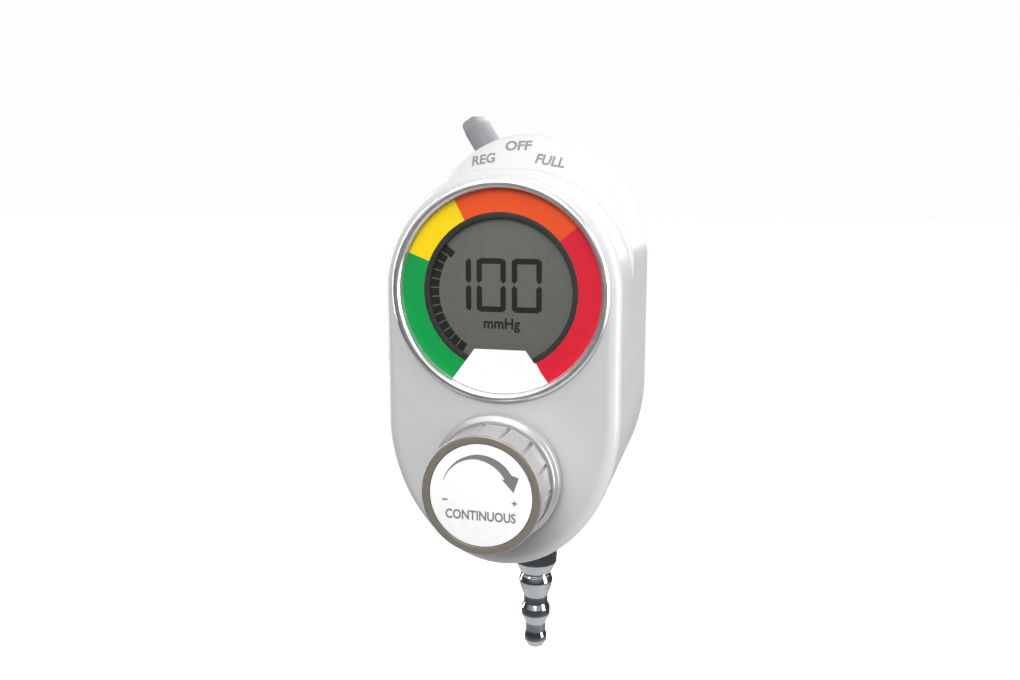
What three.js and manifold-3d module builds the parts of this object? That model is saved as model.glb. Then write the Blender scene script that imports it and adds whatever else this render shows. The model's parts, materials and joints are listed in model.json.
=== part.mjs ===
// Wall-mounted digital suction regulator, in millimetres.
// +Z is up, the front faces -Y and the wall outlet is on the +Y side.
// X runs to the right, seen from the front.
// The origin is on the probe's axis, at the rear face of the boss that the probe comes out of.
import * as THREE from "three";
import { mergeVertices } from "three/addons/utils/BufferGeometryUtils.js";
import Module from "manifold-3d";

const wasm = await Module();
wasm.setup();

// ---------------------------------------------------------------- driving dimensions

const GAP = 0.3; // between pieces that touch on the real object

// Heights and depths of the main axes and planes.
const GAUGE_Z = 34.5;
const KNOB_Z = -18.4;
const SELECTOR_Z = 50;
const PORT_Y = -28.1;
const FRONT_Y = -78.5;
const REAR_Y = -10.1;

// Housing.
const WALL = 2.4;
const HALF_WIDTH = 34.6;
const CHIN_Z = -1.5; // where the straight sides pass into the elliptical chin
const CHIN_HEIGHT = 45.1;
const HEAD_R = 30.4;
const HEAD_SLOPE = THREE.MathUtils.degToRad(20.7); // of the head's flanks, from vertical
const RIM_R = 3.8; // rounding of the front rim
const CONE_START_Y = -52.7;
const CONE_START_R = 34.1;
const CONE_SLOPE = 40 / 36; // radius gained per millimetre of depth on the label face
const COVER_EDGE = 1.5; // visible edge of the back cover
const HOUSING_REAR_Y = REAR_Y - COVER_EDGE - GAP;

// Selector.
const SELECTOR_STEP = THREE.MathUtils.degToRad(32); // from OFF to REG, and from OFF to FULL
const LEVER_TIP_R = 42.3;
const LEVER_REAR_Y = -26;
const LEVER_FRONT_Y = -36.7;
const TAB_HALF = 4.8; // half the finger tab's width, at its rear
const TAB_NOSE = 2.5; // half the width of its front face
const TAB_CORNER = 3.4; // rounding of its top corners
const CROWN = 3.4; // height of the sloping face over its front face
const BROW_Y = -34.9; // where the crown meets the front face
const TOP_FRONT_Y = -32.9; // and where it meets the flat top
const SLOT_REAR_Y = -24.3;
const SLOT_FRONT_Y = -31;
const DETENT_R = 11.5; // from the selector's axis to the detent ball
const RETAINER_SCREW_X = 9.3;

// Gauge.
const BEZEL_R = 31.5;
const DIAL_R = 29.4;
const LCD_R = 21.9;
const BEZEL_PROUD = 1.35;

// Knob and regulator.
const KNOB_FLANGE_R = 18.7;
const KNOB_R = 16.9;
const KNOB_REAR_Y = -79.85;
const KNOB_FRONT_Y = -98.1;
const FLUTES = 14;
const FLUTE_DEPTH = 0.7;
const DISC_R = 14.4;
const STEM_R = 3;
const BONNET_R = 21;
const BONNET_SCREW_CIRCLE = 17.9;

// Manifold.
const MANIFOLD_FRONT_Y = -38;
const MANIFOLD_REAR_Y = -14;
const MANIFOLD_HALF_WIDTH = 13;
const MANIFOLD_TOP_Z = 28;
const MANIFOLD_BOTTOM_Z = -34.5;
const TONGUE_FRONT_Y = -22.4;
const TONGUE_HALF_WIDTH = 11;
const TONGUE_TOP_Z = 61;
const POCKET_R = 8.3;
const BORE_R = 2; // of the gas passages

// Probe and hose barb.
const PROBE_TIP_Y = 45.5;
const PROBE_R = 4.57;
const BOSS_R = 9.2;
const GUSSET_REACH = 23.4;
const PORT_R = 9.4;
const FOOT_BOTTOM_Z = -50.6;
const PORT_BOTTOM_Z = -54.1;
const BARB_TIP_Z = -96;

const WIDE = 32; // segments of the gauge's turned pieces
const ROUND = 20; // segments of other turned pieces
const SMALL = 8; // segments of holes and screws
const CURVE = 8; // half the segments of each arc of an outline

// ---------------------------------------------------------------- solids

// A closed geometry as a solid that can be joined and cut.
function solid(geometry) {
  const bare = geometry.clone();
  bare.deleteAttribute("normal");
  bare.deleteAttribute("uv");
  const merged = mergeVertices(bare, 1e-4);
  return new wasm.Manifold(
    new wasm.Mesh({
      numProp: 3,
      vertProperties: merged.attributes.position.array,
      triVerts: new Uint32Array(merged.index.array),
    }),
  );
}

function geometryOf(manifold) {
  const mesh = manifold.getMesh();
  const geometry = new THREE.BufferGeometry();
  geometry.setAttribute("position", new THREE.BufferAttribute(mesh.vertProperties, 3));
  geometry.setIndex(new THREE.BufferAttribute(mesh.triVerts, 1));
  return geometry;
}

const joined = (first, ...rest) =>
  geometryOf(rest.map(solid).reduce((whole, piece) => whole.add(piece), solid(first)));
const cut = (body, ...tools) =>
  geometryOf(tools.map(solid).reduce((whole, tool) => whole.subtract(tool), solid(body)));
const common = (a, b) => geometryOf(solid(a).intersect(solid(b)));

// A turned piece about the Y axis. The profile is a list of [radius, y]; it starts and ends on the axis,
// or is closed into a ring.
function turned(profile, segments = ROUND) {
  const points = profile.map(([r, y]) => new THREE.Vector2(r, y));
  if (THREE.ShapeUtils.area(points) < 0) points.reverse();
  if (points[0].x > 0) points.push(points[0].clone());
  return new THREE.LatheGeometry(points, segments);
}

const rod = (radius, y0, y1, segments = ROUND) =>
  turned([[0, y0], [radius, y0], [radius, y1], [0, y1]], segments);
const ring = (inner, outer, y0, y1, segments = ROUND) =>
  turned([[inner, y0], [outer, y0], [outer, y1], [inner, y1]], segments);

// A ring of round section: an O-ring about the Y axis.
function roundRing(radius, thickness, y) {
  const steps = 5;
  const profile = Array.from({ length: steps }, (_, i) => {
    const angle = (i / steps) * 2 * Math.PI;
    return [radius + thickness * Math.cos(angle), y + thickness * Math.sin(angle)];
  });
  return turned(profile, 2 * SMALL);
}

// Turns a piece made about the Y axis so that its +Y end points up, down, or to the right.
const upright = (geometry) => geometry.rotateX(Math.PI / 2);
const hanging = (geometry) => geometry.rotateX(-Math.PI / 2);
const sideways = (geometry) => geometry.rotateZ(-Math.PI / 2);

// An outline drawn in X and Z, carried along Y.
function prism(shape, y0, y1, curveSegments = CURVE) {
  const options = { depth: y1 - y0, bevelEnabled: false, curveSegments };
  return new THREE.ExtrudeGeometry(shape, options).rotateX(Math.PI / 2).translate(0, y1, 0);
}

// The same with its front rim rounded. The outline is a function of its inset. The rear rim is rounded
// too, beyond y1.
function roundedPrism(outline, y0, y1, radius, bevelSegments) {
  const options = {
    depth: y1 - y0 - radius,
    bevelThickness: radius,
    bevelSize: radius,
    bevelSegments,
    curveSegments: CURVE,
  };
  return new THREE.ExtrudeGeometry(outline(radius), options)
    .rotateX(Math.PI / 2)
    .translate(0, y1, 0);
}

function box([x0, x1], [y0, y1], [z0, z1]) {
  return new THREE.BoxGeometry(x1 - x0, y1 - y0, z1 - z0).translate(
    (x0 + x1) / 2,
    (y0 + y1) / 2,
    (z0 + z1) / 2,
  );
}

// A sector of a ring, drawn in X and Z about the Y axis, centred on the top.
function sector(inner, outer, halfAngle) {
  const shape = new THREE.Shape();
  const top = Math.PI / 2;
  shape.absarc(0, 0, outer, top - halfAngle, top + halfAngle, false);
  shape.absarc(0, 0, inner, top + halfAngle, top - halfAngle, true);
  shape.closePath();
  return shape;
}

function polygon(points) {
  return new THREE.Shape(points.map(([x, z]) => new THREE.Vector2(x, z)));
}

// A regular polygon by its distance across flats.
function flats(count, across) {
  const radius = across / 2 / Math.cos(Math.PI / count);
  return polygon(
    Array.from({ length: count }, (_, i) => {
      const angle = ((i + 0.5) / count) * 2 * Math.PI;
      return [radius * Math.cos(angle), radius * Math.sin(angle)];
    }),
  );
}

// A cheese-head screw along Y with a slot, its head's seat at y = 0 and its tip on the -Y side.
function screw(headR, headHeight, shankR, length) {
  const blank = turned([
    [0, -length],
    [shankR, -length],
    [shankR, 0],
    [headR, 0],
    [headR, headHeight],
    [0, headHeight],
  ], SMALL);
  const slot = headR * 0.2;
  return cut(blank, box([-headR - 1, headR + 1], [headHeight * 0.5, headHeight + 1], [-slot, slot]));
}

// A helical spring about the Y axis.
class Helix extends THREE.Curve {
  constructor(radius, y0, y1, turns) {
    super();
    Object.assign(this, { radius, y0, y1, turns });
  }

  getPoint(t, target = new THREE.Vector3()) {
    const angle = t * this.turns * 2 * Math.PI;
    const y = this.y0 + (this.y1 - this.y0) * t;
    return target.set(this.radius * Math.cos(angle), y, this.radius * Math.sin(angle));
  }
}

function circle(radius, x = 0, z = 0) {
  return new THREE.Shape().absarc(x, z, radius, 0, 2 * Math.PI, false);
}

function spring(radius, wire, y0, y1, turns) {
  const path = new Helix(radius, y0 + wire, y1 - wire, turns);
  return new THREE.ExtrudeGeometry(circle(wire), {
    extrudePath: path,
    steps: turns * 8,
    bevelEnabled: false,
    curveSegments: 2,
  });
}

// ---------------------------------------------------------------- outlines of the housing

function chin(shape, inset) {
  const width = HALF_WIDTH - inset;
  shape.absellipse(0, CHIN_Z, width, CHIN_HEIGHT - inset, Math.PI, 2 * Math.PI, false, 0);
}

// The front: a round top about the gauge, straight sides and an elliptical chin.
function frontOutline(inset) {
  const width = HALF_WIDTH - inset;
  const shape = new THREE.Shape();
  shape.moveTo(width, CHIN_Z);
  shape.absarc(0, GAUGE_Z, width, 0, Math.PI, false);
  chin(shape, inset);
  shape.closePath();
  return shape;
}

// Where the head's flank meets its straight side.
function flankFoot(inset) {
  const width = HALF_WIDTH - inset;
  const reach = HEAD_R - inset;
  return [width, SELECTOR_Z + (reach - width * Math.cos(HEAD_SLOPE)) / Math.sin(HEAD_SLOPE)];
}

function headTop(shape, inset) {
  const [width, footZ] = flankFoot(inset);
  shape.lineTo(width, footZ);
  shape.absarc(0, SELECTOR_Z, HEAD_R - inset, HEAD_SLOPE, Math.PI - HEAD_SLOPE, false);
  shape.lineTo(-width, footZ);
}

// The head on its own, closed across the gauge's axis, so that its sides end where the front's begin.
function headOutline(inset) {
  const width = HALF_WIDTH - inset;
  const shape = new THREE.Shape();
  shape.moveTo(-width + 2, GAUGE_Z - 6);
  shape.lineTo(width - 2, GAUGE_Z - 6);
  shape.lineTo(width, GAUGE_Z);
  headTop(shape, inset);
  shape.lineTo(-width, GAUGE_Z);
  shape.closePath();
  return shape;
}

// The whole rear: the head above, the same chin below.
function rearOutline(inset) {
  const shape = new THREE.Shape();
  shape.moveTo(HALF_WIDTH - inset, CHIN_Z);
  headTop(shape, inset);
  chin(shape, inset);
  shape.closePath();
  return shape;
}

// The cone about the gauge's axis that forms the label face, moved inwards by a wall thickness.
function labelCone(inset, y0, y1) {
  const shrink = inset * Math.hypot(1, CONE_SLOPE);
  const radius = (y) => CONE_START_R - shrink + (y - CONE_START_Y) * CONE_SLOPE;
  return turned([[0, y0], [radius(y0), y0], [radius(y1), y1], [0, y1]], WIDE)
    .translate(0, 0, GAUGE_Z);
}

// ---------------------------------------------------------------- materials

const finish = (color, roughness, metalness = 0) =>
  new THREE.MeshStandardMaterial({ color, roughness, metalness });
const materials = {
  housing: finish(0xd8dad9, 0.45),
  cover: finish(0xcfcfcd, 0.5),
  knob: finish(0x969694, 0.5),
  disc: finish(0xf4f5f5, 0.4),
  lever: finish(0x8c8e8c, 0.4),
  dark: finish(0x3c3032, 0.5),
  chrome: finish(0xd9dcde, 0.12, 1),
  steel: finish(0xa8abad, 0.35, 1),
  aluminium: finish(0xb9bcbe, 0.4, 1),
  brass: finish(0xb99a54, 0.35, 1),
  rubber: finish(0x1c1c1c, 0.8),
  clear: finish(0xeef2f2, 0.05),
  dial: finish(0xf5f6f6, 0.5),
  lcd: finish(0x646860, 0.3),
  black: finish(0x151515, 0.6),
  board: finish(0x1f5a33, 0.55),
  nylon: finish(0xd9d2bd, 0.5),
};
materials.clear.transparent = true;
materials.clear.opacity = 0.25;

const regulatorUnit = new THREE.Group();

function part(name, geometry, material, parent = regulatorUnit) {
  const mesh = new THREE.Mesh(geometry, material);
  mesh.name = name;
  parent.add(mesh);
  return mesh;
}

// A group with its origin at a place in its parent's frame.
function group(x, y, z, parent = regulatorUnit) {
  const made = new THREE.Group();
  made.position.set(x, y, z);
  parent.add(made);
  return made;
}

const mirrored = [-1, 1];

// ---------------------------------------------------------------- housing and back cover

const POSTS = mirrored.flatMap((side) => [
  { x: side * 29.6, z: 27 },
  { x: side * 26.6, z: -19 },
]);
const POST_R = 3.2;
const POST_REAR_Y = -16;
const LIP_DEPTH = 2.6; // how far the back cover's lip reaches into the housing
const COVER_SCREW_R = 1.3;
const HEAD_SEAT = 0.9; // depth that the rear screws' heads are sunk to
const MANIFOLD_SCREWS = mirrored.flatMap((side) => [
  { x: side * 8.5, z: 20 },
  { x: side * 8.5, z: -22 },
]);
const MANIFOLD_SCREW_R = 1.7;

function frontHousing() {
  const rear = HOUSING_REAR_Y;
  const behind = box([-60, 60], [rear, rear + 12], [-60, 90]);
  const front = cut(roundedPrism(frontOutline, FRONT_Y, rear, RIM_R, 3), behind);
  const head = common(prism(headOutline(0), -56, rear), labelCone(0, CONE_START_Y - 2, rear + 1));
  const frontHollow = prism(frontOutline(WALL), FRONT_Y + WALL, rear + 1);
  const headHollow = common(
    prism(headOutline(WALL), -56, rear + 1),
    labelCone(WALL, CONE_START_Y - 1, rear + 2),
  );
  const shell = cut(joined(front, head), frontHollow, headHollow);
  const posts = POSTS.map(({ x, z }) => rod(POST_R, -34, POST_REAR_Y, SMALL).translate(x, 0, z));
  const pilots = POSTS.map(({ x, z }) => rod(COVER_SCREW_R, -29, rear, SMALL).translate(x, 0, z));
  const trimmed = common(joined(shell, ...posts), joined(front, head));
  const leverSlot = prism(sector(24, 34, SELECTOR_STEP + 0.19), SLOT_FRONT_Y, SLOT_REAR_Y);
  return cut(
    trimmed,
    rod(DIAL_R + 1.1, FRONT_Y - 1, FRONT_Y + WALL + 1, WIDE).translate(0, 0, GAUGE_Z),
    rod(10.3, FRONT_Y - 1, FRONT_Y + WALL + 1).translate(0, 0, KNOB_Z),
    leverSlot.translate(0, 0, SELECTOR_Z),
    hanging(rod(6.6, 40, 50)).translate(0, PORT_Y, 0),
    ...pilots,
  );
}

function gusset(angle) {
  const thickness = 1.15;
  const shape = polygon([[2, REAR_Y], [GUSSET_REACH, REAR_Y], [BOSS_R, 0], [2, 0]]);
  const options = { depth: 2 * thickness, bevelEnabled: false };
  return new THREE.ExtrudeGeometry(shape, options).translate(0, 0, -thickness).rotateY(angle);
}

function backCover() {
  const edge = REAR_Y - COVER_EDGE;
  const plate = prism(rearOutline(0), edge, REAR_Y);
  const lip = cut(
    prism(rearOutline(WALL + GAP), edge - LIP_DEPTH, edge + 0.5),
    prism(rearOutline(WALL + GAP + 1.6), edge - 4, edge),
  );
  const boss = rod(BOSS_R, REAR_Y - 1, 0);
  const gussets = [0, 1, 2, 3].map((quarter) => gusset((quarter * Math.PI) / 2));
  const foot = cut(
    joined(
      box([-11, 11], [-37, REAR_Y - 2.2], [FOOT_BOTTOM_Z, -38]),
      box([-11, 11], [-20, REAR_Y], [FOOT_BOTTOM_Z + 2.2, -38]),
      sideways(rod(2.2, -11, 11, SMALL)).translate(0, REAR_Y - 2.2, FOOT_BOTTOM_Z + 2.2),
    ),
    prism(frontOutline(-GAP), -40, edge),
  );
  const port = cut(
    hanging(rod(PORT_R, 44, -PORT_BOTTOM_Z)).translate(0, PORT_Y, 0),
    prism(frontOutline(-GAP), -40, edge),
  );
  const screwHoles = POSTS.map(({ x, z }) => rod(COVER_SCREW_R + GAP, -40, 1, SMALL).translate(x, 0, z));
  const headSeats = POSTS.map(({ x, z }) => rod(3.1, REAR_Y - HEAD_SEAT, 1, SMALL).translate(x, 0, z));
  const clampHoles = MANIFOLD_SCREWS.map(({ x, z }) =>
    rod(MANIFOLD_SCREW_R + GAP, -20, 1, SMALL).translate(x, 0, z),
  );
  const clampSeats = MANIFOLD_SCREWS.map(
    ({ x, z }) => rod(3.6, REAR_Y - HEAD_SEAT, 1, SMALL).translate(x, 0, z),
  );
  return cut(
    joined(plate, lip, boss, ...gussets, foot, port),
    rod(PROBE_R + 0.4, -20, 1),
    hanging(rod(6.4, 40, 60)).translate(0, PORT_Y, 0),
    ...screwHoles,
    ...headSeats,
    ...clampHoles,
    ...clampSeats,
  );
}

// A flat ring that the posts press against the cover's lip. The four cover screws pass through it.
function coverGasket() {
  const rear = REAR_Y - COVER_EDGE - LIP_DEPTH - GAP;
  const front = POST_REAR_Y + GAP;
  const holes = POSTS.map(({ x, z }) => rod(COVER_SCREW_R + GAP, -20, -10, SMALL).translate(x, 0, z));
  return cut(
    prism(rearOutline(WALL + GAP), front, rear),
    prism(rearOutline(WALL + GAP + 4.5), front - 1, rear + 1),
    ...holes,
  );
}

part("front_housing", frontHousing(), materials.housing);
part("back_cover", backCover(), materials.cover);
POSTS.forEach(({ x, z }, i) => {
  const place = group(x, REAR_Y - HEAD_SEAT + GAP, z);
  part(`back_cover_screw_${i + 1}`, screw(2.5, 0.9, COVER_SCREW_R - GAP, 16), materials.steel, place);
});

// ---------------------------------------------------------------- manifold, probe and hose barb

function manifoldBlock() {
  const main = box(
    [-MANIFOLD_HALF_WIDTH, MANIFOLD_HALF_WIDTH],
    [MANIFOLD_FRONT_Y, MANIFOLD_REAR_Y],
    [MANIFOLD_BOTTOM_Z, MANIFOLD_TOP_Z],
  );
  const tongue = box(
    [-TONGUE_HALF_WIDTH, TONGUE_HALF_WIDTH],
    [TONGUE_FRONT_Y, MANIFOLD_REAR_Y],
    [MANIFOLD_TOP_Z - 1, TONGUE_TOP_Z],
  );
  const flange = rod(BONNET_R, MANIFOLD_FRONT_Y, -34).translate(0, 0, KNOB_Z);
  const bonnetHoles = bonnetScrewPlaces().map(([x, z]) =>
    rod(1.1 + GAP, MANIFOLD_FRONT_Y - 1, -35, SMALL).translate(x, 0, z + KNOB_Z),
  );
  const retainerHoles = mirrored.map((side) =>
    rod(0.8 + GAP, TONGUE_FRONT_Y - 1, -18, SMALL).translate(side * RETAINER_SCREW_X, 0, SELECTOR_Z),
  );
  const clampHoles = MANIFOLD_SCREWS.map(({ x, z }) =>
    rod(MANIFOLD_SCREW_R, -24, -13, SMALL).translate(x, 0, z),
  );
  return cut(
    joined(main, tongue, flange),
    rod(PROBE_R + GAP, -24, -13, 2 * SMALL), // socket of the probe
    rod(7, -16, -13), // seat of its seal
    upright(rod(BORE_R, -2, SELECTOR_Z, SMALL)).translate(0, -20.3, 0), // gallery up to the selector
    rod(POCKET_R, TONGUE_FRONT_Y - 1, -16.5).translate(0, 0, SELECTOR_Z),
    hanging(rod(5.3, 25, 40)).translate(0, PORT_Y, 0), // socket of the hose barb
    hanging(rod(BORE_R, -KNOB_Z, 26, SMALL)).translate(0, PORT_Y, 0),
    rod(4.6, MANIFOLD_FRONT_Y - 1, -24).translate(0, 0, KNOB_Z), // chamber of the poppet
    upright(rod(1.2, 8, 40, SMALL)).translate(6, -30, 0), // pick-up of the sensor tube
    rod(1.5, TONGUE_FRONT_Y, -19.5, SMALL).translate(0, 0, SELECTOR_Z - DETENT_R), // pit of the detent ball
    ...bonnetHoles,
    ...retainerHoles,
    ...clampHoles,
  );
}

function bonnetScrewPlaces() {
  return [45, 135, 225, 315].map((degrees) => {
    const angle = THREE.MathUtils.degToRad(degrees);
    return [BONNET_SCREW_CIRCLE * Math.cos(angle), BONNET_SCREW_CIRCLE * Math.sin(angle)];
  });
}

part("manifold_block", manifoldBlock(), materials.aluminium);
part("cover_gasket", coverGasket(), materials.rubber);
MANIFOLD_SCREWS.forEach(({ x, z }, i) => {
  const place = group(x, REAR_Y - HEAD_SEAT + GAP, z);
  part(`manifold_screw_${i + 1}`, screw(3, 0.9, MANIFOLD_SCREW_R - GAP, 12), materials.steel, place);
});

// Bright nipple: collared tip, a neck under the sleeve, a shoulder and the shank in the manifold.
function probeNipple() {
  const neck = PROBE_R - 0.9;
  return turned([
    [BORE_R, -22.5],
    [PROBE_R, -22.5],
    [PROBE_R, -16.5],
    [PROBE_R - 0.27, -16.5],
    [PROBE_R - 0.27, 3.8],
    [6, 3.8],
    [6.2, 4.2],
    [6.2, 11.6],
    [neck, 11.6],
    [neck, 25],
    [PROBE_R, 25],
    [PROBE_R, 33.3],
    [5.58, 33.7],
    [5.58, 36.3],
    [PROBE_R, 36.7],
    [PROBE_R, PROBE_TIP_Y - 1.2],
    [PROBE_R - 0.9, PROBE_TIP_Y],
    [BORE_R, PROBE_TIP_Y],
  ]);
}

part("probe_nipple", probeNipple(), materials.chrome);
part(
  "probe_sleeve",
  turned([
    [PROBE_R - 0.6, 11.9],
    [6.35, 11.9],
    [6.35, 23.4],
    [5.4, 24.7],
    [PROBE_R - 0.6, 24.7],
  ]),
  materials.dark,
);
part("probe_seal", roundRing(5.75, 0.85, -15.05), materials.rubber);
part("inlet_filter", rod(3, -23.7, -22.8, SMALL), materials.brass);

// The barb is turned about its own axis, from its thread down to its open tip.
function hoseBarb() {
  const balls = [
    { z: -71.5, r: 5.9 },
    { z: -83, r: 4.75 },
    { z: -93.1, r: 3.88 },
  ];
  const profile = [
    [BORE_R, 26],
    [5, 26],
    [5, 40],
    [6.05, 40],
    [6.05, 57.2],
    [7.3, 57.2],
    [7.3, 64.6],
    [5.2, 68.6],
  ];
  balls.forEach(({ z, r }, i) => {
    const next = balls[i + 1];
    const neck = [4.25, 3.4][i];
    [-45, 0, 45].forEach((degrees) => {
      const angle = THREE.MathUtils.degToRad(degrees);
      profile.push([r * Math.cos(angle) ** 0.8, -z + r * 0.75 * Math.sin(angle)]);
    });
    if (next) profile.push([neck, -(z + next.z) / 2 + 0.4]);
  });
  profile.push([2.7, -BARB_TIP_Z], [BORE_R, -BARB_TIP_Z]);
  const body = turned(profile, 2 * SMALL);
  const hexagon = cut(prism(flats(6, 13.4), 57.2, 64.6), rod(6, 50, 70));
  return hanging(joined(body, hexagon));
}

const port = group(0, PORT_Y, 0);
part("hose_barb", hoseBarb(), materials.chrome, port);
part("barb_seal", hanging(ring(6.35, 7.2, -PORT_BOTTOM_Z + GAP, 56.9)), materials.rubber, port);

// ---------------------------------------------------------------- knob and vacuum regulator

const regulator = group(0, 0, KNOB_Z);
const SEAT_FRONT_Y = -62;
const SEAT_REAR_Y = -57;
const BONNET_REAR_Y = MANIFOLD_FRONT_Y - 1.6;
const GRUB_SCREW_Y = -88;

// The knob's section: wide lobes with a narrow flute between each two.
function flutedOutline(inset) {
  const pitch = (2 * Math.PI) / FLUTES;
  const corners = [[-0.13, 0], [0, FLUTE_DEPTH], [0.13, 0], [0.5, -0.15]]; // share of the pitch, depth
  const points = Array.from({ length: FLUTES }, (_, i) =>
    corners.map(([along, depth]) => {
      const angle = (i + along) * pitch;
      const radius = KNOB_R - inset - depth;
      return [radius * Math.cos(angle), radius * Math.sin(angle)];
    }),
  );
  return polygon(points.flat());
}

function knob() {
  const crown = KNOB_FRONT_Y;
  const flange = turned([
    [0, KNOB_REAR_Y],
    [KNOB_FLANGE_R, KNOB_REAR_Y],
    [KNOB_FLANGE_R, -83.6],
    [17.6, -84.2],
    [17.6, -84.9],
    [0, -84.9],
  ]);
  const grip = roundedPrism(flutedOutline, crown, -84.6, 1.2, 2);
  return cut(
    joined(flange, grip),
    rod(DISC_R + GAP, crown - 1, crown + 1), // seat of the white disc
    ring(7.6, 14, -94, KNOB_REAR_Y + 1), // hollow behind the grip
    rod(STEM_R + GAP, -93, KNOB_REAR_Y + 1),
    hanging(rod(1.8, 0, 20, SMALL)).translate(0, GRUB_SCREW_Y, 0), // way in for the grub screw
  );
}

const stem = turned([
  [0, -92.6],
  [STEM_R, -92.6],
  [STEM_R, -77.4],
  [5.2, -77.4],
  [5.2, -74],
  [STEM_R, -74],
  [STEM_R, -50.5],
  [STEM_R - 0.8, -49.7],
  [0, -49.7],
]);

// A cap nut: its flange shows behind the knob, its barrel holds the bonnet's nose in the front wall.
const bushing = turned([
  [STEM_R + GAP, -79.5],
  [12.9, -79.5],
  [12.9, FRONT_Y - GAP],
  [10, FRONT_Y - GAP],
  [10, -73],
  [8.9, -73],
  [8.9, -78.1],
  [STEM_R + GAP, -78.1],
]);

function bonnet() {
  const bell = turned([
    [STEM_R + GAP, -73],
    [5.6, -73],
    [5.6, -77.7],
    [8.6, -77.7],
    [8.6, -71],
    [13.5, -71],
    [14.5, -70],
    [14.5, -45.5],
    [BONNET_R, -45.5],
    [BONNET_R, BONNET_REAR_Y],
    [15, BONNET_REAR_Y],
    [15, -43],
    [9.4, -43],
    [9.4, -68.5],
    [STEM_R + GAP, -68.5],
  ]);
  const holes = bonnetScrewPlaces().map(([x, z]) => rod(1.5, -47, -38, SMALL).translate(x, 0, z));
  return cut(bell, box([-12, 12], [-68.5, -42], [-1.9, 1.9]), ...holes);
}

function springSeat() {
  const nut = joined(
    rod(8.9, SEAT_FRONT_Y, SEAT_REAR_Y),
    box([-11.5, 11.5], [SEAT_FRONT_Y, SEAT_REAR_Y], [-1.5, 1.5]),
  );
  return cut(nut, rod(STEM_R + GAP, SEAT_FRONT_Y - 1, SEAT_REAR_Y + 1));
}

const grubScrew = hanging(rod(1.5, STEM_R + GAP, 7.2, SMALL)).translate(0, GRUB_SCREW_Y, 0);

function diaphragm() {
  const holes = bonnetScrewPlaces().map(([x, z]) => rod(1.5, -40, -38, SMALL).translate(x, 0, z));
  return cut(ring(2.5, BONNET_R, -39.3, -38.3), ...holes);
}

part("regulator_bonnet", bonnet(), materials.aluminium, regulator);
part("knob_bushing", bushing, materials.dark, regulator);
part("regulator_knob", knob(), materials.knob, regulator);
part("knob_disc", rod(DISC_R, KNOB_FRONT_Y - 0.1, KNOB_FRONT_Y + 0.7), materials.disc, regulator);
part("regulator_stem", stem, materials.steel, regulator);
part("knob_grub_screw", grubScrew, materials.steel, regulator);
part("spring_seat", springSeat(), materials.brass, regulator);
part("range_spring", spring(6.6, 0.75, SEAT_REAR_Y + GAP, -41.8, 6), materials.steel, regulator);
part("diaphragm", diaphragm(), materials.rubber, regulator);
part(
  "diaphragm_plate",
  turned([
    [0, -41.5],
    [11, -41.5],
    [11, -39.9],
    [2.2, -39.9],
    [2.2, -36.6],
    [0, -36.6],
  ]),
  materials.aluminium,
  regulator,
);
part(
  "poppet",
  turned([
    [0, -36],
    [1.6, -36],
    [1.6, -33.4],
    [4, -33.4],
    [4, -31.4],
    [1.4, -31],
    [1.4, -27.6],
    [0, -27.6],
  ], SMALL),
  materials.brass,
  regulator,
);
part("poppet_spring", spring(2.5, 0.4, -30.8, -24.4, 4), materials.steel, regulator);
bonnetScrewPlaces().forEach(([x, z], i) => {
  const place = group(x, -45.5 - GAP, z, regulator);
  place.rotation.z = Math.PI; // its head faces the front
  part(`bonnet_screw_${i + 1}`, screw(2.1, 1.8, 1.1, 9.5), materials.steel, place);
});

// ---------------------------------------------------------------- selector

const selector = group(0, 0, SELECTOR_Z);
const turning = group(0, 0, 0, selector);
turning.rotation.y = -SELECTOR_STEP; // the lever rests at REG

// The tab: its end is round, its front a blunt ridge that leans back towards the tip.
function leverTab() {
  const base = HEAD_R + GAP;
  const shape = new THREE.Shape();
  shape.moveTo(-TAB_HALF, base);
  shape.lineTo(TAB_HALF, base);
  shape.absarc(TAB_HALF - TAB_CORNER, LEVER_TIP_R - TAB_CORNER, TAB_CORNER, 0, Math.PI / 2, false);
  shape.absarc(TAB_CORNER - TAB_HALF, LEVER_TIP_R - TAB_CORNER, TAB_CORNER, Math.PI / 2, Math.PI, false);
  shape.closePath();
  const side = new THREE.Shape([
    new THREE.Vector2(LEVER_REAR_Y, base - 1),
    new THREE.Vector2(LEVER_FRONT_Y, base - 1),
    new THREE.Vector2(BROW_Y, LEVER_TIP_R - CROWN),
    new THREE.Vector2(TOP_FRONT_Y, LEVER_TIP_R),
    new THREE.Vector2(TOP_FRONT_Y, LEVER_TIP_R + 1),
    new THREE.Vector2(LEVER_REAR_Y, LEVER_TIP_R + 1),
  ]);
  const wedge = new THREE.ExtrudeGeometry(side, { depth: 12, bevelEnabled: false })
    .translate(0, 0, -6)
    .rotateX(Math.PI / 2)
    .rotateZ(Math.PI / 2);
  const plan = new THREE.Shape([
    new THREE.Vector2(-TAB_NOSE, LEVER_FRONT_Y),
    new THREE.Vector2(TAB_NOSE, LEVER_FRONT_Y),
    new THREE.Vector2(TAB_HALF, LEVER_REAR_Y),
    new THREE.Vector2(-TAB_HALF, LEVER_REAR_Y),
  ]);
  const fin = new THREE.ExtrudeGeometry(plan, { depth: 16, bevelEnabled: false }).translate(0, 0, base - 1);
  return common(common(prism(shape, LEVER_FRONT_Y - 1, LEVER_REAR_Y, 5), wedge), fin);
}

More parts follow.
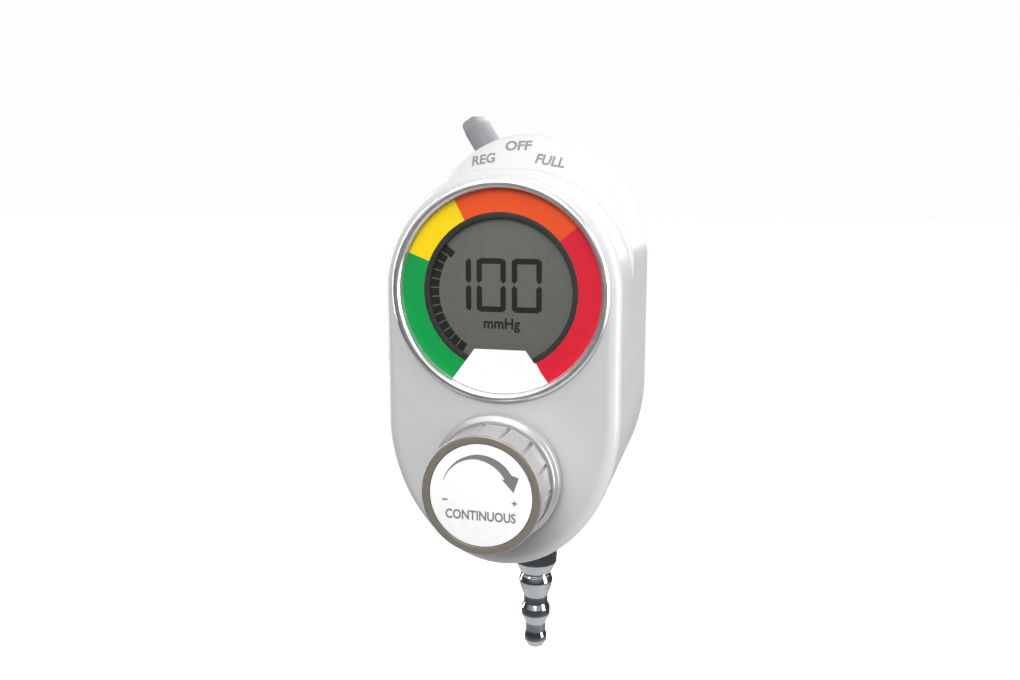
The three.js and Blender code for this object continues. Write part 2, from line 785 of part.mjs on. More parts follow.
function lever() {
  const arm = box([-3, 3], [SLOT_FRONT_Y + 0.5, SLOT_REAR_Y - 0.6], [5, HEAD_R + 2]);
  const shutterArc = sector(26.2, 27.5, SELECTOR_STEP * 2 + 0.24); // closes the slot at every setting
  const shutter = prism(shutterArc, SLOT_FRONT_Y - 1.6, SLOT_REAR_Y + 1.4);
  const hub = rod(6.6, SLOT_FRONT_Y, SLOT_REAR_Y);
  const heel = prism(sector(5, 13.6, 0.75), -27, SLOT_REAR_Y, 6).rotateY(Math.PI);
  return cut(joined(leverTab(), arm, shutter, hub, heel), rod(4.3, -40, -20));
}

function rotor() {
  const blank = turned([
    [0, -30.9],
    [4, -30.9],
    [4, -21.8],
    [7.95, -21.8],
    [7.95, -20.3],
    [6.3, -20.3],
    [6.3, -18.3],
    [7.95, -18.3],
    [7.95, -16.9],
    [0, -16.9],
  ]);
  return cut(blank, rod(1.5, -32, -24, SMALL), box([-1.2, 1.2], [-18.5, -16], [-5.5, 5.5]));
}

part("selector_lever", lever(), materials.lever, turning);
part("selector_rotor", rotor(), materials.brass, turning);
part("selector_seal", roundRing(7.3, 0.65, -19.3), materials.rubber, turning);
const leverScrewPlace = group(0, SLOT_FRONT_Y - GAP, 0, turning);
leverScrewPlace.rotation.z = Math.PI;
part("lever_screw", screw(4.8, 1.8, 1.2, 6), materials.steel, leverScrewPlace);

const retainer = cut(
  joined(
    ring(4.4, 8.9, TONGUE_FRONT_Y - GAP - 1, TONGUE_FRONT_Y - GAP),
    cut(box([-10.9, 10.9], [TONGUE_FRONT_Y - GAP - 1, TONGUE_FRONT_Y - GAP], [-2, 2]), rod(4.4, -30, -20)),
  ),
  ...mirrored.map((side) => rod(0.8 + GAP, -25, -20, SMALL).translate(side * RETAINER_SCREW_X, 0, 0)),
);
part("rotor_retainer", retainer, materials.steel, selector);
mirrored.forEach((side, i) => {
  const place = group(side * RETAINER_SCREW_X, TONGUE_FRONT_Y - 1 - 2 * GAP, 0, selector);
  place.rotation.z = Math.PI;
  part(`retainer_screw_${i + 1}`, screw(1.5, 0.9, 0.8, 4.2), materials.steel, place);
});
const detent = group(0, 0, -DETENT_R, selector);
part("detent_ball", new THREE.SphereGeometry(1.2, 8, 6).translate(0, -23, 0), materials.steel, detent);
part("detent_spring", spring(0.8, 0.2, -21.7, -19.7, 2), materials.steel, detent);

// ---------------------------------------------------------------- gauge

const gauge = group(0, 0, GAUGE_Z);
const LENS_FRONT_Y = FRONT_Y - 0.6;
const DIAL_FRONT_Y = LENS_FRONT_Y + 1.9;
const LCD_FRONT_Y = DIAL_FRONT_Y + 1.2;
const BOARD_FRONT_Y = LCD_FRONT_Y + 6;
const CUP_REAR_Y = -58;
const CUP_BORE_R = 26;

part(
  "gauge_bezel",
  turned([
    [DIAL_R, FRONT_Y - BEZEL_PROUD + 0.3],
    [DIAL_R + 0.7, FRONT_Y - BEZEL_PROUD],
    [BEZEL_R - 0.8, FRONT_Y - BEZEL_PROUD],
    [BEZEL_R, FRONT_Y - BEZEL_PROUD + 0.6],
    [BEZEL_R, FRONT_Y - GAP],
    [DIAL_R + 0.8, FRONT_Y - GAP],
    [DIAL_R + 0.8, FRONT_Y + WALL],
    [DIAL_R, FRONT_Y + WALL],
  ], WIDE),
  materials.chrome,
  gauge,
);
part("gauge_lens", rod(DIAL_R - GAP, LENS_FRONT_Y, LENS_FRONT_Y + 1.6, WIDE), materials.clear, gauge);
const dialPlate = ring(LCD_R, DIAL_R - GAP, DIAL_FRONT_Y, DIAL_FRONT_Y + 0.9, WIDE);
part("dial_plate", dialPlate, materials.dial, gauge);
part("lcd_panel", rod(LCD_R + 1, LCD_FRONT_Y, LCD_FRONT_Y + 1.6), materials.lcd, gauge);

const BOARD_SCREWS = [90, 210, 330].map((degrees) => {
  const angle = THREE.MathUtils.degToRad(degrees);
  return [22.6 * Math.cos(angle), 22.6 * Math.sin(angle)];
});
const screwBores = (radius) =>
  BOARD_SCREWS.map(([x, z]) => rod(radius, LCD_FRONT_Y + 3, CUP_REAR_Y, SMALL).translate(x, 0, z));

// A black ring that holds the panel's edge and takes the board's screws.
function lcdFrame() {
  const blank = turned([
    [LCD_R - 2, LCD_FRONT_Y + 1.9],
    [LCD_R + 1.3, LCD_FRONT_Y + 1.9],
    [LCD_R + 1.3, LCD_FRONT_Y],
    [CUP_BORE_R - GAP, LCD_FRONT_Y],
    [CUP_BORE_R - GAP, BOARD_FRONT_Y - GAP],
    [LCD_R - 2, BOARD_FRONT_Y - GAP],
  ]);
  return cut(blank, ...screwBores(1.2));
}

part("lcd_frame", lcdFrame(), materials.black, gauge);
part(
  "contact_strip",
  box([-11, 11], [LCD_FRONT_Y + 1.9, BOARD_FRONT_Y - GAP], [-15.6, -13.2]),
  materials.rubber,
  gauge,
);

const board = cut(rod(CUP_BORE_R - 2 * GAP, BOARD_FRONT_Y, BOARD_FRONT_Y + 1.6), ...screwBores(1.2));
part("gauge_board", board, materials.board, gauge);
part(
  "controller_chip",
  box([-14, -5], [BOARD_FRONT_Y + 1.9, BOARD_FRONT_Y + 3.1], [-4, 5]),
  materials.black,
  gauge,
);
part(
  "pressure_sensor",
  joined(
    box([1, 12], [BOARD_FRONT_Y + 1.9, BOARD_FRONT_Y + 6], [-16, -5]),
    rod(1.5, BOARD_FRONT_Y + 5, CUP_REAR_Y + 2.2, SMALL).translate(6, 0, -10),
  ),
  materials.nylon,
  gauge,
);

function gaugeCup() {
  const outer = HALF_WIDTH - WALL - GAP;
  const cup = turned([
    [0, CUP_REAR_Y],
    [27.6, CUP_REAR_Y],
    [27.6, FRONT_Y + WALL + 2.2],
    [outer, FRONT_Y + WALL + 2.2],
    [outer, FRONT_Y + WALL + GAP],
    [CUP_BORE_R, FRONT_Y + WALL + GAP],
    [CUP_BORE_R, CUP_REAR_Y - 1.6],
    [0, CUP_REAR_Y - 1.6],
  ]);
  return cut(cup, rod(2.6, CUP_REAR_Y - 3, CUP_REAR_Y + 1, SMALL).translate(6, 0, -10));
}

part("gauge_cup", gaugeCup(), materials.black, gauge);
BOARD_SCREWS.forEach(([x, z], i) => {
  const place = group(x, BOARD_FRONT_Y + 1.6 + GAP, z, gauge);
  part(`board_screw_${i + 1}`, screw(1.8, 1.2, 0.9, 4), materials.steel, place);
});

// Two cells side by side in a tray behind the gauge cup.
const CELL_R = 5.2;
const CELL_HALF_LENGTH = 22.2;
const CELL_Y = -50.6;
const CELL_Z = [3.5, 14.8];
const tray = cut(
  box([-24, 24], [CUP_REAR_Y + GAP, CELL_Y], [-3, 20]),
  ...CELL_Z.map((z) => sideways(rod(CELL_R + GAP, -22.9, 22.9)).translate(0, CELL_Y, z)),
  box([4, 8], [CUP_REAR_Y - 1, CELL_Y + 1], [-4, 0]),
);
part("battery_tray", tray, materials.black, gauge);
CELL_Z.forEach((z, i) => {
  const polarity = i === 0 ? 1 : -1;
  const cell = turned([
    [0, -CELL_HALF_LENGTH],
    [CELL_R, -CELL_HALF_LENGTH],
    [CELL_R, CELL_HALF_LENGTH - 1.2],
    [2, CELL_HALF_LENGTH - 1.2],
    [2, CELL_HALF_LENGTH],
    [0, CELL_HALF_LENGTH],
  ]);
  const place = group(0, CELL_Y, z, gauge);
  part(`battery_${i + 1}`, sideways(cell).rotateZ(polarity > 0 ? 0 : Math.PI), materials.steel, place);
});

// The sensor tube: from the sensor's nipple, round the tray, down into the top of the manifold.
function sensorTube() {
  const route = new THREE.CatmullRomCurve3([
    new THREE.Vector3(6, -55.4, 24.5),
    new THREE.Vector3(6, -50, 24.7),
    new THREE.Vector3(6, -43, 29.5),
    new THREE.Vector3(6, -36, 33.2),
    new THREE.Vector3(6, -31, 32.4),
    new THREE.Vector3(6, -30, 28.5),
  ]);
  return new THREE.ExtrudeGeometry(circle(1.4), {
    extrudePath: route,
    steps: 14,
    bevelEnabled: false,
    curveSegments: 4,
  });
}

part("sensor_tube", sensorTube(), materials.clear);

export default regulatorUnit;
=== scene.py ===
"""Wall-mounted digital suction regulator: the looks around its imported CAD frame.

Shapes are worked out in millimetres and scaled once, when a mesh is made.
"""

import json
from math import asin, cos, hypot, pi, radians, sin, sqrt, tan

import bmesh
import bpy
from mathutils import Matrix, Vector


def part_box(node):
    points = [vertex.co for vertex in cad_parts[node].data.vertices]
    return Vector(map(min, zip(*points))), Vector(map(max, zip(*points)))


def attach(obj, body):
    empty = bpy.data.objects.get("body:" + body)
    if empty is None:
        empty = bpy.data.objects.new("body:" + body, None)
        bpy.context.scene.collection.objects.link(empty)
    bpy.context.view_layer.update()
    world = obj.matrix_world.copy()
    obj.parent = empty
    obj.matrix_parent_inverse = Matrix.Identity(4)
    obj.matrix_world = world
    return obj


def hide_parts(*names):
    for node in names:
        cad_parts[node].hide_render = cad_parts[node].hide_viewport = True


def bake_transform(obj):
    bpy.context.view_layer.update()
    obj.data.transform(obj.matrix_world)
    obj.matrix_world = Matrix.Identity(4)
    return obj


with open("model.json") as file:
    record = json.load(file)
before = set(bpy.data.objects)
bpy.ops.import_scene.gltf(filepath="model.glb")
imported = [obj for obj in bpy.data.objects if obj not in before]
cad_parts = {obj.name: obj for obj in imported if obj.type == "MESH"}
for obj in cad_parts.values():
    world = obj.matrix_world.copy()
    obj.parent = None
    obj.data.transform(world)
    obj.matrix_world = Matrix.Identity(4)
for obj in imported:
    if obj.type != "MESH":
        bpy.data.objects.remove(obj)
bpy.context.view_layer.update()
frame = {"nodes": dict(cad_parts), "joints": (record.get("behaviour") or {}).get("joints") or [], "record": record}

MM = 0.001
TURN = 2 * pi


def span(node):
    """Lowest and highest corner of a CAD node, in millimetres."""
    low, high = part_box(node)
    return low / MM, high / MM


def joint_place(name):
    place = next(joint["pos_m"] for joint in frame["joints"] if joint["name"] == name)
    return Vector(place) / MM


# ---- sizes

housing_low, housing_high = span("front_housing")
bezel_low, bezel_high = span("gauge_bezel")
lens_low, lens_high = span("gauge_lens")
dial_low, dial_high = span("dial_plate")
lcd_low, lcd_high = span("lcd_panel")
knob_low, knob_high = span("regulator_knob")
disc_low, disc_high = span("knob_disc")
probe_high = span("probe_nipple")[1]
sleeve_low, sleeve_high = span("probe_sleeve")
barb_low, barb_high = span("hose_barb")
seal_low, seal_high = span("barb_seal")

GAP = 0.3  # between CAD parts that touch
HALF_WIDTH = housing_high.x
FRONT_Y = housing_low.y
REAR_Y = housing_high.y
GAUGE_Z = (bezel_low.z + bezel_high.z) / 2
KNOB_Z = joint_place("knob_turn").z
SELECTOR_Z = joint_place("selector_turn").z
PORT_Y = (barb_low.y + barb_high.y) / 2

WALL = 2.4
RIM_R = 3.8
CHIN_Z = -1.5  # the front's sides are straight down to here, and its chin is half an ellipse
CHIN_HEIGHT = CHIN_Z - housing_low.z
HEAD_R = housing_high.z - SELECTOR_Z
HEAD_SLOPE = radians(20.7)
CONE_START_Y = -52.7  # the label face is part of a cone about the gauge's axis
CONE_START_R = 34.1
CONE_SLOPE = 40 / 36
SOFTEN = 1.3  # reach of the rounding where the label face meets its neighbours
COLUMNS = 240  # round the housing

COVER_FRONT_Y = REAR_Y + 0.08
COVER_REAR_Y = REAR_Y + GAP + 1.5
BOSS_R = 9.2
GUSSET_REACH = 23.4
PORT_R = 9.4
POSTS = [(side * x, z) for side in (-1, 1) for x, z in ((29.6, 27), (26.6, -19))]
MANIFOLD_SCREWS = [(side * 8.5, z) for side in (-1, 1) for z in (20, -22)]
SELECTOR_STEP = radians(32)
SLOT_FRONT_Y = -31
SLOT_REAR_Y = -24.3
LEVER_TIP_R = 42.3
TAB_HALF = 4.8

BEZEL_R = bezel_high.x
DIAL_R = dial_high.x
LCD_R = 21.9
GAUGE_HOLE_R = BEZEL_R - 1
KNOB_FLANGE_R = knob_high.x
KNOB_R = 16.9
DISC_R = disc_high.x
FLUTES = 14
FLUTE_PHASE = radians(4.5)
GRIP_REAR_Y = -85.2
STEM_HOLE_R = 3.3
PROBE_R = 4.57
BORE_R = 2.0  # of the probe and of the hose barb

SCREWS = {  # head height, shank radius, and whether the head faces the front
    "back_cover_screw": (0.9, 1.0, False),
    "manifold_screw": (0.9, 1.4, False),
    "bonnet_screw": (1.8, 1.1, True),
    "retainer_screw": (0.9, 0.8, True),
    "lever_screw": (1.8, 1.2, True),
    "board_screw": (1.2, 0.9, False),
}


# ---- mesh helpers


def new_object(name, data, rotation=(0, 0, 0), location=(0, 0, 0)):
    made = bpy.data.objects.new(name, data)
    made.rotation_euler = rotation
    made.location = location
    bpy.context.scene.collection.objects.link(made)
    return made


def solid(name, work, sharp=30, merge=1e-7):
    """An object from a bmesh, with close points merged and its faces turned outwards."""
    bmesh.ops.remove_doubles(work, verts=work.verts, dist=merge)
    bmesh.ops.recalc_face_normals(work, faces=work.faces)
    mesh = bpy.data.meshes.new(name)
    work.to_mesh(mesh)
    work.free()
    shade(mesh, sharp)
    return new_object(name, mesh)


def mesh_object(name, points, faces, sharp=30):
    """An object from points in millimetres."""
    work = bmesh.new()
    corners = [work.verts.new(Vector(p) * MM) for p in points]
    for face in faces:
        work.faces.new([corners[i] for i in face])
    return solid(name, work, sharp)


def shade(mesh, sharp=30):
    mesh.shade_smooth()
    mesh.set_sharp_from_angle(angle=radians(sharp))


def rounded(corners, closed=False, steps=4):
    """A profile whose corners (x, y, radius) are rounded; a corner without a radius stays sharp."""
    made = []
    count = len(corners)
    for i, corner in enumerate(corners):
        here = Vector(corner[:2])
        radius = corner[2] if len(corner) > 2 else 0
        if radius == 0 or (not closed and i in (0, count - 1)):
            made.append(tuple(here))
            continue
        before = Vector(corners[i - 1][:2]) - here
        after = Vector(corners[(i + 1) % count][:2]) - here
        half = before.angle(after) / 2
        reach = min(radius / tan(half), 0.49 * before.length, 0.49 * after.length)
        size = reach * tan(half)
        middle = here + (before.normalized() + after.normalized()).normalized() * size / sin(half)
        start = here + before.normalized() * reach - middle
        end = here + after.normalized() * reach - middle
        sweep = start.angle_signed(end, 0)
        for step in range(steps + 1):
            made.append(tuple(middle + Matrix.Rotation(-sweep * step / steps, 2) @ start))
    return made


def grid(rows, wrap_rows=False):
    """Quads over equal rows of points that each close on themselves."""
    width = len(rows[0])
    points = [p for row in rows for p in row]
    faces = []
    for r in range(len(rows) if wrap_rows else len(rows) - 1):
        near, far = r * width, (r + 1) % len(rows) * width
        for c in range(width):
            after = (c + 1) % width
            faces.append((near + c, near + after, far + after, far + c))
    return points, faces


def polar(radius, angle, y, z=0, x=0):
    """The point at an angle round a line along Y that goes through (x, z)."""
    return x + radius * cos(angle), y, z + radius * sin(angle)


def lathe(name, profile, segments=96, x=0, z=0, ripple=lambda angle, radius, y: radius, sharp=30):
    """A piece turned about a line along Y. Its profile (radius, y) has both ends on the line, or is
    a closed ring. ripple gives the radius where the piece isn't round.
    """
    ring = min(profile[0][0], profile[-1][0]) > 0
    body = profile if ring else profile[1:-1]
    angles = [TURN * i / segments for i in range(segments)]
    rows = [[polar(ripple(a, radius, y), a, y, z, x) for a in angles] for radius, y in body]
    points, faces = grid(rows, wrap_rows=ring)
    if not ring:
        for row, (_, y) in ((0, profile[0]), (len(rows) - 1, profile[-1])):
            hub = len(points)
            points.append((x, y, z))
            start = row * segments
            faces += [(start + i, start + (i + 1) % segments, hub) for i in range(segments)]
    return mesh_object(name, points, faces, sharp)


def turned(name, corners, segments, z=0, steps=4, **more):
    """A piece lathed about a line along Y. Its profile's corners are (radius, y, rounding)."""
    closed = min(corners[0][0], corners[-1][0]) > 0
    return lathe(name, rounded(corners, closed, steps), segments, 0, z, **more)


def stack(name, loops, sharp=30):
    """A closed solid through loops of points, with its first and last loop filled."""
    points, faces = grid(loops)
    width = len(loops[0])
    faces.append(tuple(range(width)))
    faces.append(tuple(range(len(points) - width, len(points))))
    return mesh_object(name, points, faces, sharp)


def prism(name, outline, y0, y1, edge=0.0):
    """An outline (x, z) carried along Y, its two rims bevelled by scaling towards its middle."""
    middle = sum((Vector(p) for p in outline), Vector((0, 0))) / len(outline)
    reach = max((Vector(p) - middle).length for p in outline)

    def loop(y, inset):
        share = 1 - inset / reach
        return [(middle.x + (x - middle.x) * share, y, middle.y + (z - middle.y) * share) for x, z in outline]

    rims = [(y0, edge), (y0 + edge, 0), (y1 - edge, 0), (y1, edge)] if edge else [(y0, 0), (y1, 0)]
    return stack(name, [loop(y, inset) for y, inset in rims])


def arc(radius, start, end, steps, x=0, z=0):
    """Points (x, z) along an arc, by angle from +X towards +Z."""
    angles = [start + (end - start) * i / steps for i in range(steps + 1)]
    return [(x + radius * cos(a), z + radius * sin(a)) for a in angles]


def ring_sector(inner, outer, start, end, z=0, steps=None):
    """The outline of a piece of a ring; its angles run clockwise from the top."""
    steps = steps or max(3, round(abs(end - start) / radians(2.5)))
    top = pi / 2
    return arc(outer, top - start, top - end, steps, 0, z) + arc(inner, top - end, top - start, steps, 0, z)


def block(name, low, high, edge=0.4, segments=3):
    """A box with rounded edges."""
    size = Vector(high) - Vector(low)
    middle = (Vector(high) + Vector(low)) / 2
    work = bmesh.new()
    bmesh.ops.create_cube(work, size=1)
    for v in work.verts:
        v.co = v.co * size + middle
    bmesh.ops.bevel(work, geom=work.edges[:], offset=edge, segments=segments, affect="EDGES", profile=0.5)
    for v in work.verts:
        v.co *= MM
    return solid(name, work)


def turn_down(piece):
    """Turns a piece made about the Y axis so that its +Y end points down."""
    piece.data.transform(Matrix.Rotation(-pi / 2, 4, "X"))
    return piece


def shift(piece, x=0, y=0, z=0):
    piece.data.transform(Matrix.Translation(Vector((x, y, z)) * MM))
    return piece


def combine(body, tools, operation):
    """Joins or cuts body with each tool, exactly, and removes the tools."""
    for tool in tools:
        modifier = body.modifiers.new("combine", "BOOLEAN")
        modifier.operation = operation
        modifier.solver = "EXACT"
        modifier.object = tool
    bpy.context.view_layer.update()
    made = body.evaluated_get(bpy.context.evaluated_depsgraph_get())
    mesh = bpy.data.meshes.new_from_object(made)
    body.modifiers.clear()
    body.data, old = mesh, body.data
    bpy.data.meshes.remove(old)
    mesh.name = body.name
    for tool in tools:
        bpy.data.objects.remove(tool)
    shade(mesh)
    return body


def join(body, *tools):
    return combine(body, tools, "UNION")


def cut(body, *tools):
    return combine(body, tools, "DIFFERENCE")


def even_normals(piece):
    """Keeps large flat faces flat in the shading next to their rounded rims."""
    modifier = piece.modifiers.new("even normals", "WEIGHTED_NORMAL")
    modifier.keep_sharp = True
    modifier.weight = 80


def rod(radius, y0, y1, x=0, z=0, segments=48):
    return lathe("tool", [(0, y0), (radius, y0), (radius, y1), (0, y1)], segments, x, z)


# ---- materials


class Tree:
    """A node tree, with short ways to add nodes to it."""

    def __init__(self, owner):
        owner.use_nodes = True
        self.nodes = owner.node_tree.nodes
        self.links = owner.node_tree.links

    def put(self, socket, value):
        """Gives a socket a value, or links it to another node's output."""
        if isinstance(value, bpy.types.NodeSocket):
            self.links.new(value, socket)
        else:
            socket.default_value = value

    def feed(self, node, **inputs):
        for name, value in inputs.items():
            self.put(node.inputs[name.replace("_", " ")], value)

    def add(self, kind, settings=(), **inputs):
        node = self.nodes.new("ShaderNode" + kind)
        for name, value in settings:
            setattr(node, name, value)
        self.feed(node, **inputs)
        return node

    def maths(self, operation, *terms, kind="Math"):
        node = self.add(kind, [("operation", operation)])
        for socket, term in zip(node.inputs, terms):
            self.put(socket, term)
        return node.outputs["Value"]

    def ramp(self, source, stops):
        """A colour ramp over source. Stops are (place, colour)."""
        node = self.add("ValToRGB", Fac=source)
        elements = node.color_ramp.elements
        while len(elements) < len(stops):
            elements.new(0.5)
        for element, (where, colour) in zip(elements, stops):
            element.position = where
            element.color = (*colour, 1)
        return node.outputs["Color"]

    def mix(self, factor, first, second, blend="MIX"):
        settings = [("data_type", "RGBA"), ("blend_type", blend)]
        return self.add("Mix", settings, Factor=factor, A=first, B=second).outputs["Result"]


class Surface(Tree):
    """A material, with short ways to add what most surfaces need."""

    def __init__(self, name, roughness, metallic=0.0, **sockets):
        self.material = bpy.data.materials.new(name)
        super().__init__(self.material)
        self.shader = self.nodes["Principled BSDF"]
        self.feed(self.shader, Roughness=roughness, Metallic=metallic, **sockets)
        self.place = self.add("TexCoord").outputs["Object"]

    def noise(self, size, detail=3.0, stretch=(1, 1, 1)):
        """Noise whose features are about size millimetres across."""
        mapping = self.add("Mapping", Vector=self.place, Scale=stretch)
        node = self.add("TexNoise", Vector=mapping.outputs["Vector"], Scale=1 / (size * MM), Detail=detail)
        return node.outputs["Fac"]

    def spread(self, source, low, high):
        """Maps the middle of source's range to low and high."""
        node = self.add("MapRange", Value=source, From_Min=0.25, From_Max=0.75, To_Min=low, To_Max=high)
        return node.outputs["Result"]

    def edges(self):
        """Near 1 along outer edges, 0 elsewhere."""
        pointiness = self.add("NewGeometry").outputs["Pointiness"]
        return self.add("MapRange", Value=pointiness, From_Min=0.52, From_Max=0.6).outputs["Result"]

    def paint(self, colour):
        self.feed(self.shader, Base_Color=colour)

    def colour(self, base, size=14, change=0.03, worn=0.0):
        """Base colour with slow variation, and paler along worn edges."""
        dark = [c * (1 - change) for c in base]
        light = [min(1, c * (1 + change)) for c in base]
        varied = self.ramp(self.noise(size), [(0.3, dark), (0.7, light)])
        if worn:
            pale = [min(1, c + worn) for c in base]
            edge = self.ramp(self.noise(size / 8), [(0.0, pale), (1.0, light)])
            varied = self.mix(self.edges(), varied, edge)
        self.paint(varied)

    def vary_roughness(self, low, high, size=6):
        self.feed(self.shader, Roughness=self.spread(self.noise(size), low, high))

    def bump(self, source, depth):
        """Relief of source, depth millimetres high, over any relief that is there already."""
        node = self.add("Bump", Height=source, Strength=1.0, Distance=depth * MM)
        for before in self.shader.inputs["Normal"].links[:1]:
            self.feed(node, Normal=before.from_socket)
        self.feed(self.shader, Normal=node.outputs["Normal"])


def moulded(name, base, roughness, grain=0.35, relief=0.006, worn=0.03, change=0.02, **sockets):
    """Moulded plastic: a fine spark-eroded grain, slow flow marks and slightly paler edges."""
    surface = Surface(name, roughness, IOR=1.5, **sockets)
    surface.colour(base, 18, change, worn)
    surface.vary_roughness(roughness - 0.05, roughness + 0.07, 4)
    surface.bump(surface.noise(grain, 2), relief)
    surface.bump(surface.noise(9, 1), relief * 2)
    return surface.material


def satin(name, base, roughness=0.3, metallic=0.5):
    """Smooth plastic under a thin satin metal finish, with a barely visible brushing."""
    surface = Surface(name, roughness, metallic, IOR=1.5)
    surface.colour(base, 9, 0.02)
    surface.vary_roughness(roughness - 0.015, roughness + 0.02, 6)
    surface.bump(surface.noise(0.3, 2, (1, 0.2, 1)), 0.0008)
    return surface.material


def plated(name, base, roughness=0.05):
    """Bright plating: hairlines and faint smears in its gloss."""
    surface = Surface(name, roughness, 1.0)
    surface.colour(base, 10, 0.02)
    surface.vary_roughness(roughness, roughness + 0.07, 3)
    surface.bump(surface.noise(0.5, 2, (6, 1, 1)), 0.0006)
    return surface.material


def machined(name, base, roughness=0.3, stretch=(1, 14, 1)):
    """Machined metal: fine tool marks across the turning axis."""
    surface = Surface(name, roughness, 1.0, Anisotropic=0.3)
    surface.colour(base, 5, 0.06, 0.05)
    surface.vary_roughness(roughness - 0.06, roughness + 0.12, 1.5)
    surface.bump(surface.noise(0.9, 3, stretch), 0.004)
    return surface.material


def elastomer(name, base):
    surface = Surface(name, 0.75, IOR=1.5)
    surface.colour(base, 3, 0.25, 0.02)
    surface.vary_roughness(0.65, 0.9, 1.5)
    surface.bump(surface.noise(0.3, 3), 0.01)
    return surface.material


def ink(name, base, roughness=0.45):
    """Printed ink: slight mottling, and the print's faint orange peel."""
    surface = Surface(name, roughness, IOR=1.5, Specular_IOR_Level=0.2)
    surface.colour(base, 2.5, 0.025)
    surface.vary_roughness(roughness - 0.05, roughness + 0.05, 2)
    surface.bump(surface.noise(0.6, 2), 0.0015)
    return surface.material


def clear_window(name):
    """A clear, anti-reflective window: see-through, with a faint gloss that grows at a glancing angle."""
    surface = Surface(name, 0.04, IOR=1.49)
    surface.colour((0.95, 0.96, 0.96), 12, 0.01)
    surface.vary_roughness(0.035, 0.04, 12)
    gloss = surface.add("Fresnel", IOR=1.18).outputs["Fac"]
    entering = surface.maths("SUBTRACT", 1, surface.add("NewGeometry").outputs["Backfacing"])
    either = surface.add("MixShader", Fac=surface.maths("MULTIPLY", gloss, entering))
    surface.put(either.inputs[1], surface.add("BsdfTransparent").outputs["BSDF"])
    surface.put(either.inputs[2], surface.shader.outputs["BSDF"])
    surface.feed(surface.nodes["Material Output"], Surface=either.outputs["Shader"])
    return surface.material


def lcd_glass(name, base):
    """The panel behind the window: a soft shade and the faint grid of its cells."""
    surface = Surface(name, 0.4, IOR=1.5, Specular_IOR_Level=0.15)
    upright = surface.add("Mapping", Vector=surface.place, Rotation=(pi / 2, 0, 0))
    cells = surface.add(
        "TexBrick",
        [("offset", 0)],
        Vector=upright.outputs["Vector"],
        Scale=1 / (0.5 * MM),
        Mortar_Size=0.03,
        Color1=(*base, 1),
        Color2=(*[c * 1.02 for c in base], 1),
        Mortar=(*[c * 0.94 for c in base], 1),
    )
    shade_of = surface.ramp(surface.noise(40, 1), [(0.3, (0.96,) * 3), (0.7, (1.0,) * 3)])
    surface.paint(surface.mix(1.0, cells.outputs["Color"], shade_of, "MULTIPLY"))
    surface.vary_roughness(0.25, 0.35, 3)
    return surface.material


def circuit(name):
    """Green solder mask over copper tracks."""
    surface = Surface(name, 0.35, IOR=1.5)
    settings = [("distance", "MANHATTAN"), ("feature", "DISTANCE_TO_EDGE")]
    tracks = surface.add("TexVoronoi", settings, Vector=surface.place, Scale=1 / (2.4 * MM))
    track, mask = (0.03, 0.2, 0.07), (0.012, 0.09, 0.03)
    surface.paint(surface.ramp(tracks.outputs["Distance"], [(0.04, track), (0.08, mask)]))
    surface.vary_roughness(0.25, 0.4, 2)
    surface.bump(tracks.outputs["Distance"], 0.03)
    return surface.material


def floor_painted_light(name):
    """Pale paint with painted light and shade: the camera sees it paler further from the object, which evens out
    the lamps' falloff, and bounced light sees it pale only near the object and dark further out, as on a lit sweep
    in a dim room.
    """
    surface = Surface(name, 0.7, IOR=1.4, Specular_IOR_Level=0.1)
    away = surface.maths("LENGTH", surface.place, kind="VectorMath")
    # shown: paler further out, painted light for the camera; thrown: darker further out, painted shade for bounced
    # light
    shown = surface.ramp(away, [(0.5, (0.88,) * 3), (1.0, (0.99,) * 3)])
    thrown = surface.ramp(away, [(0.57, (0.42,) * 3), (0.87, (0.06,) * 3)])
    surface.paint(surface.mix(surface.add("LightPath").outputs["Is Camera Ray"], thrown, shown))
    surface.vary_roughness(0.65, 0.75, 40)
    return surface.material


MATERIALS = {
    "housing": moulded("housing_plastic", (0.53, 0.534, 0.534), 0.34),
    "cover": moulded("cover_plastic", (0.5, 0.5, 0.495), 0.42),
    "knob": satin("knob_plastic", (0.44, 0.43, 0.445), 0.3, 0.45),
    # knob_rim is a darker, browner copy of the knob plastic: painted reflection of the dark surroundings on the
    # knob's front rim
    "knob_rim": satin("knob_rim_painted_reflection", (0.25, 0.225, 0.19), 0.32, 0.3),
    "disc": ink("disc_label", (0.93, 0.935, 0.935), 0.4),
    "lever": satin("lever_plastic", (0.2, 0.2, 0.213), 0.45, 0.1),
    "dark": moulded("sleeve_plastic", (0.043, 0.028, 0.028), 0.42, 0.3, 0.008, 0.02, 0.1),
    "chrome": plated("bright_plating", (0.72, 0.72, 0.72)),
    "barb": plated("blued_plating", (0.5, 0.525, 0.56)),
    "rim": plated("satin_plating", (0.78, 0.785, 0.795), 0.3),
    "steel": machined("plain_steel", (0.5, 0.505, 0.51), 0.3),
    "aluminium": machined("anodised_aluminium", (0.62, 0.63, 0.635), 0.36, (1, 8, 1)),
    "brass": machined("machined_brass", (0.62, 0.45, 0.2), 0.28),
    "rubber": elastomer("black_rubber", (0.02, 0.02, 0.021)),
    "lens": clear_window("clear_lens"),
    "dial": ink("dial_white", (0.93, 0.935, 0.935)),
    "lcd": lcd_glass("lcd_panel_glass", (0.128, 0.139, 0.118)),
    "black": moulded("black_plastic", (0.013, 0.013, 0.013), 0.5, 0.3, 0.006, 0.01, 0.2),
    "board": circuit("circuit_board"),
    "nylon": moulded("natural_nylon", (0.62, 0.57, 0.46), 0.45, 0.5, 0.005, 0.03, 0.04),
}
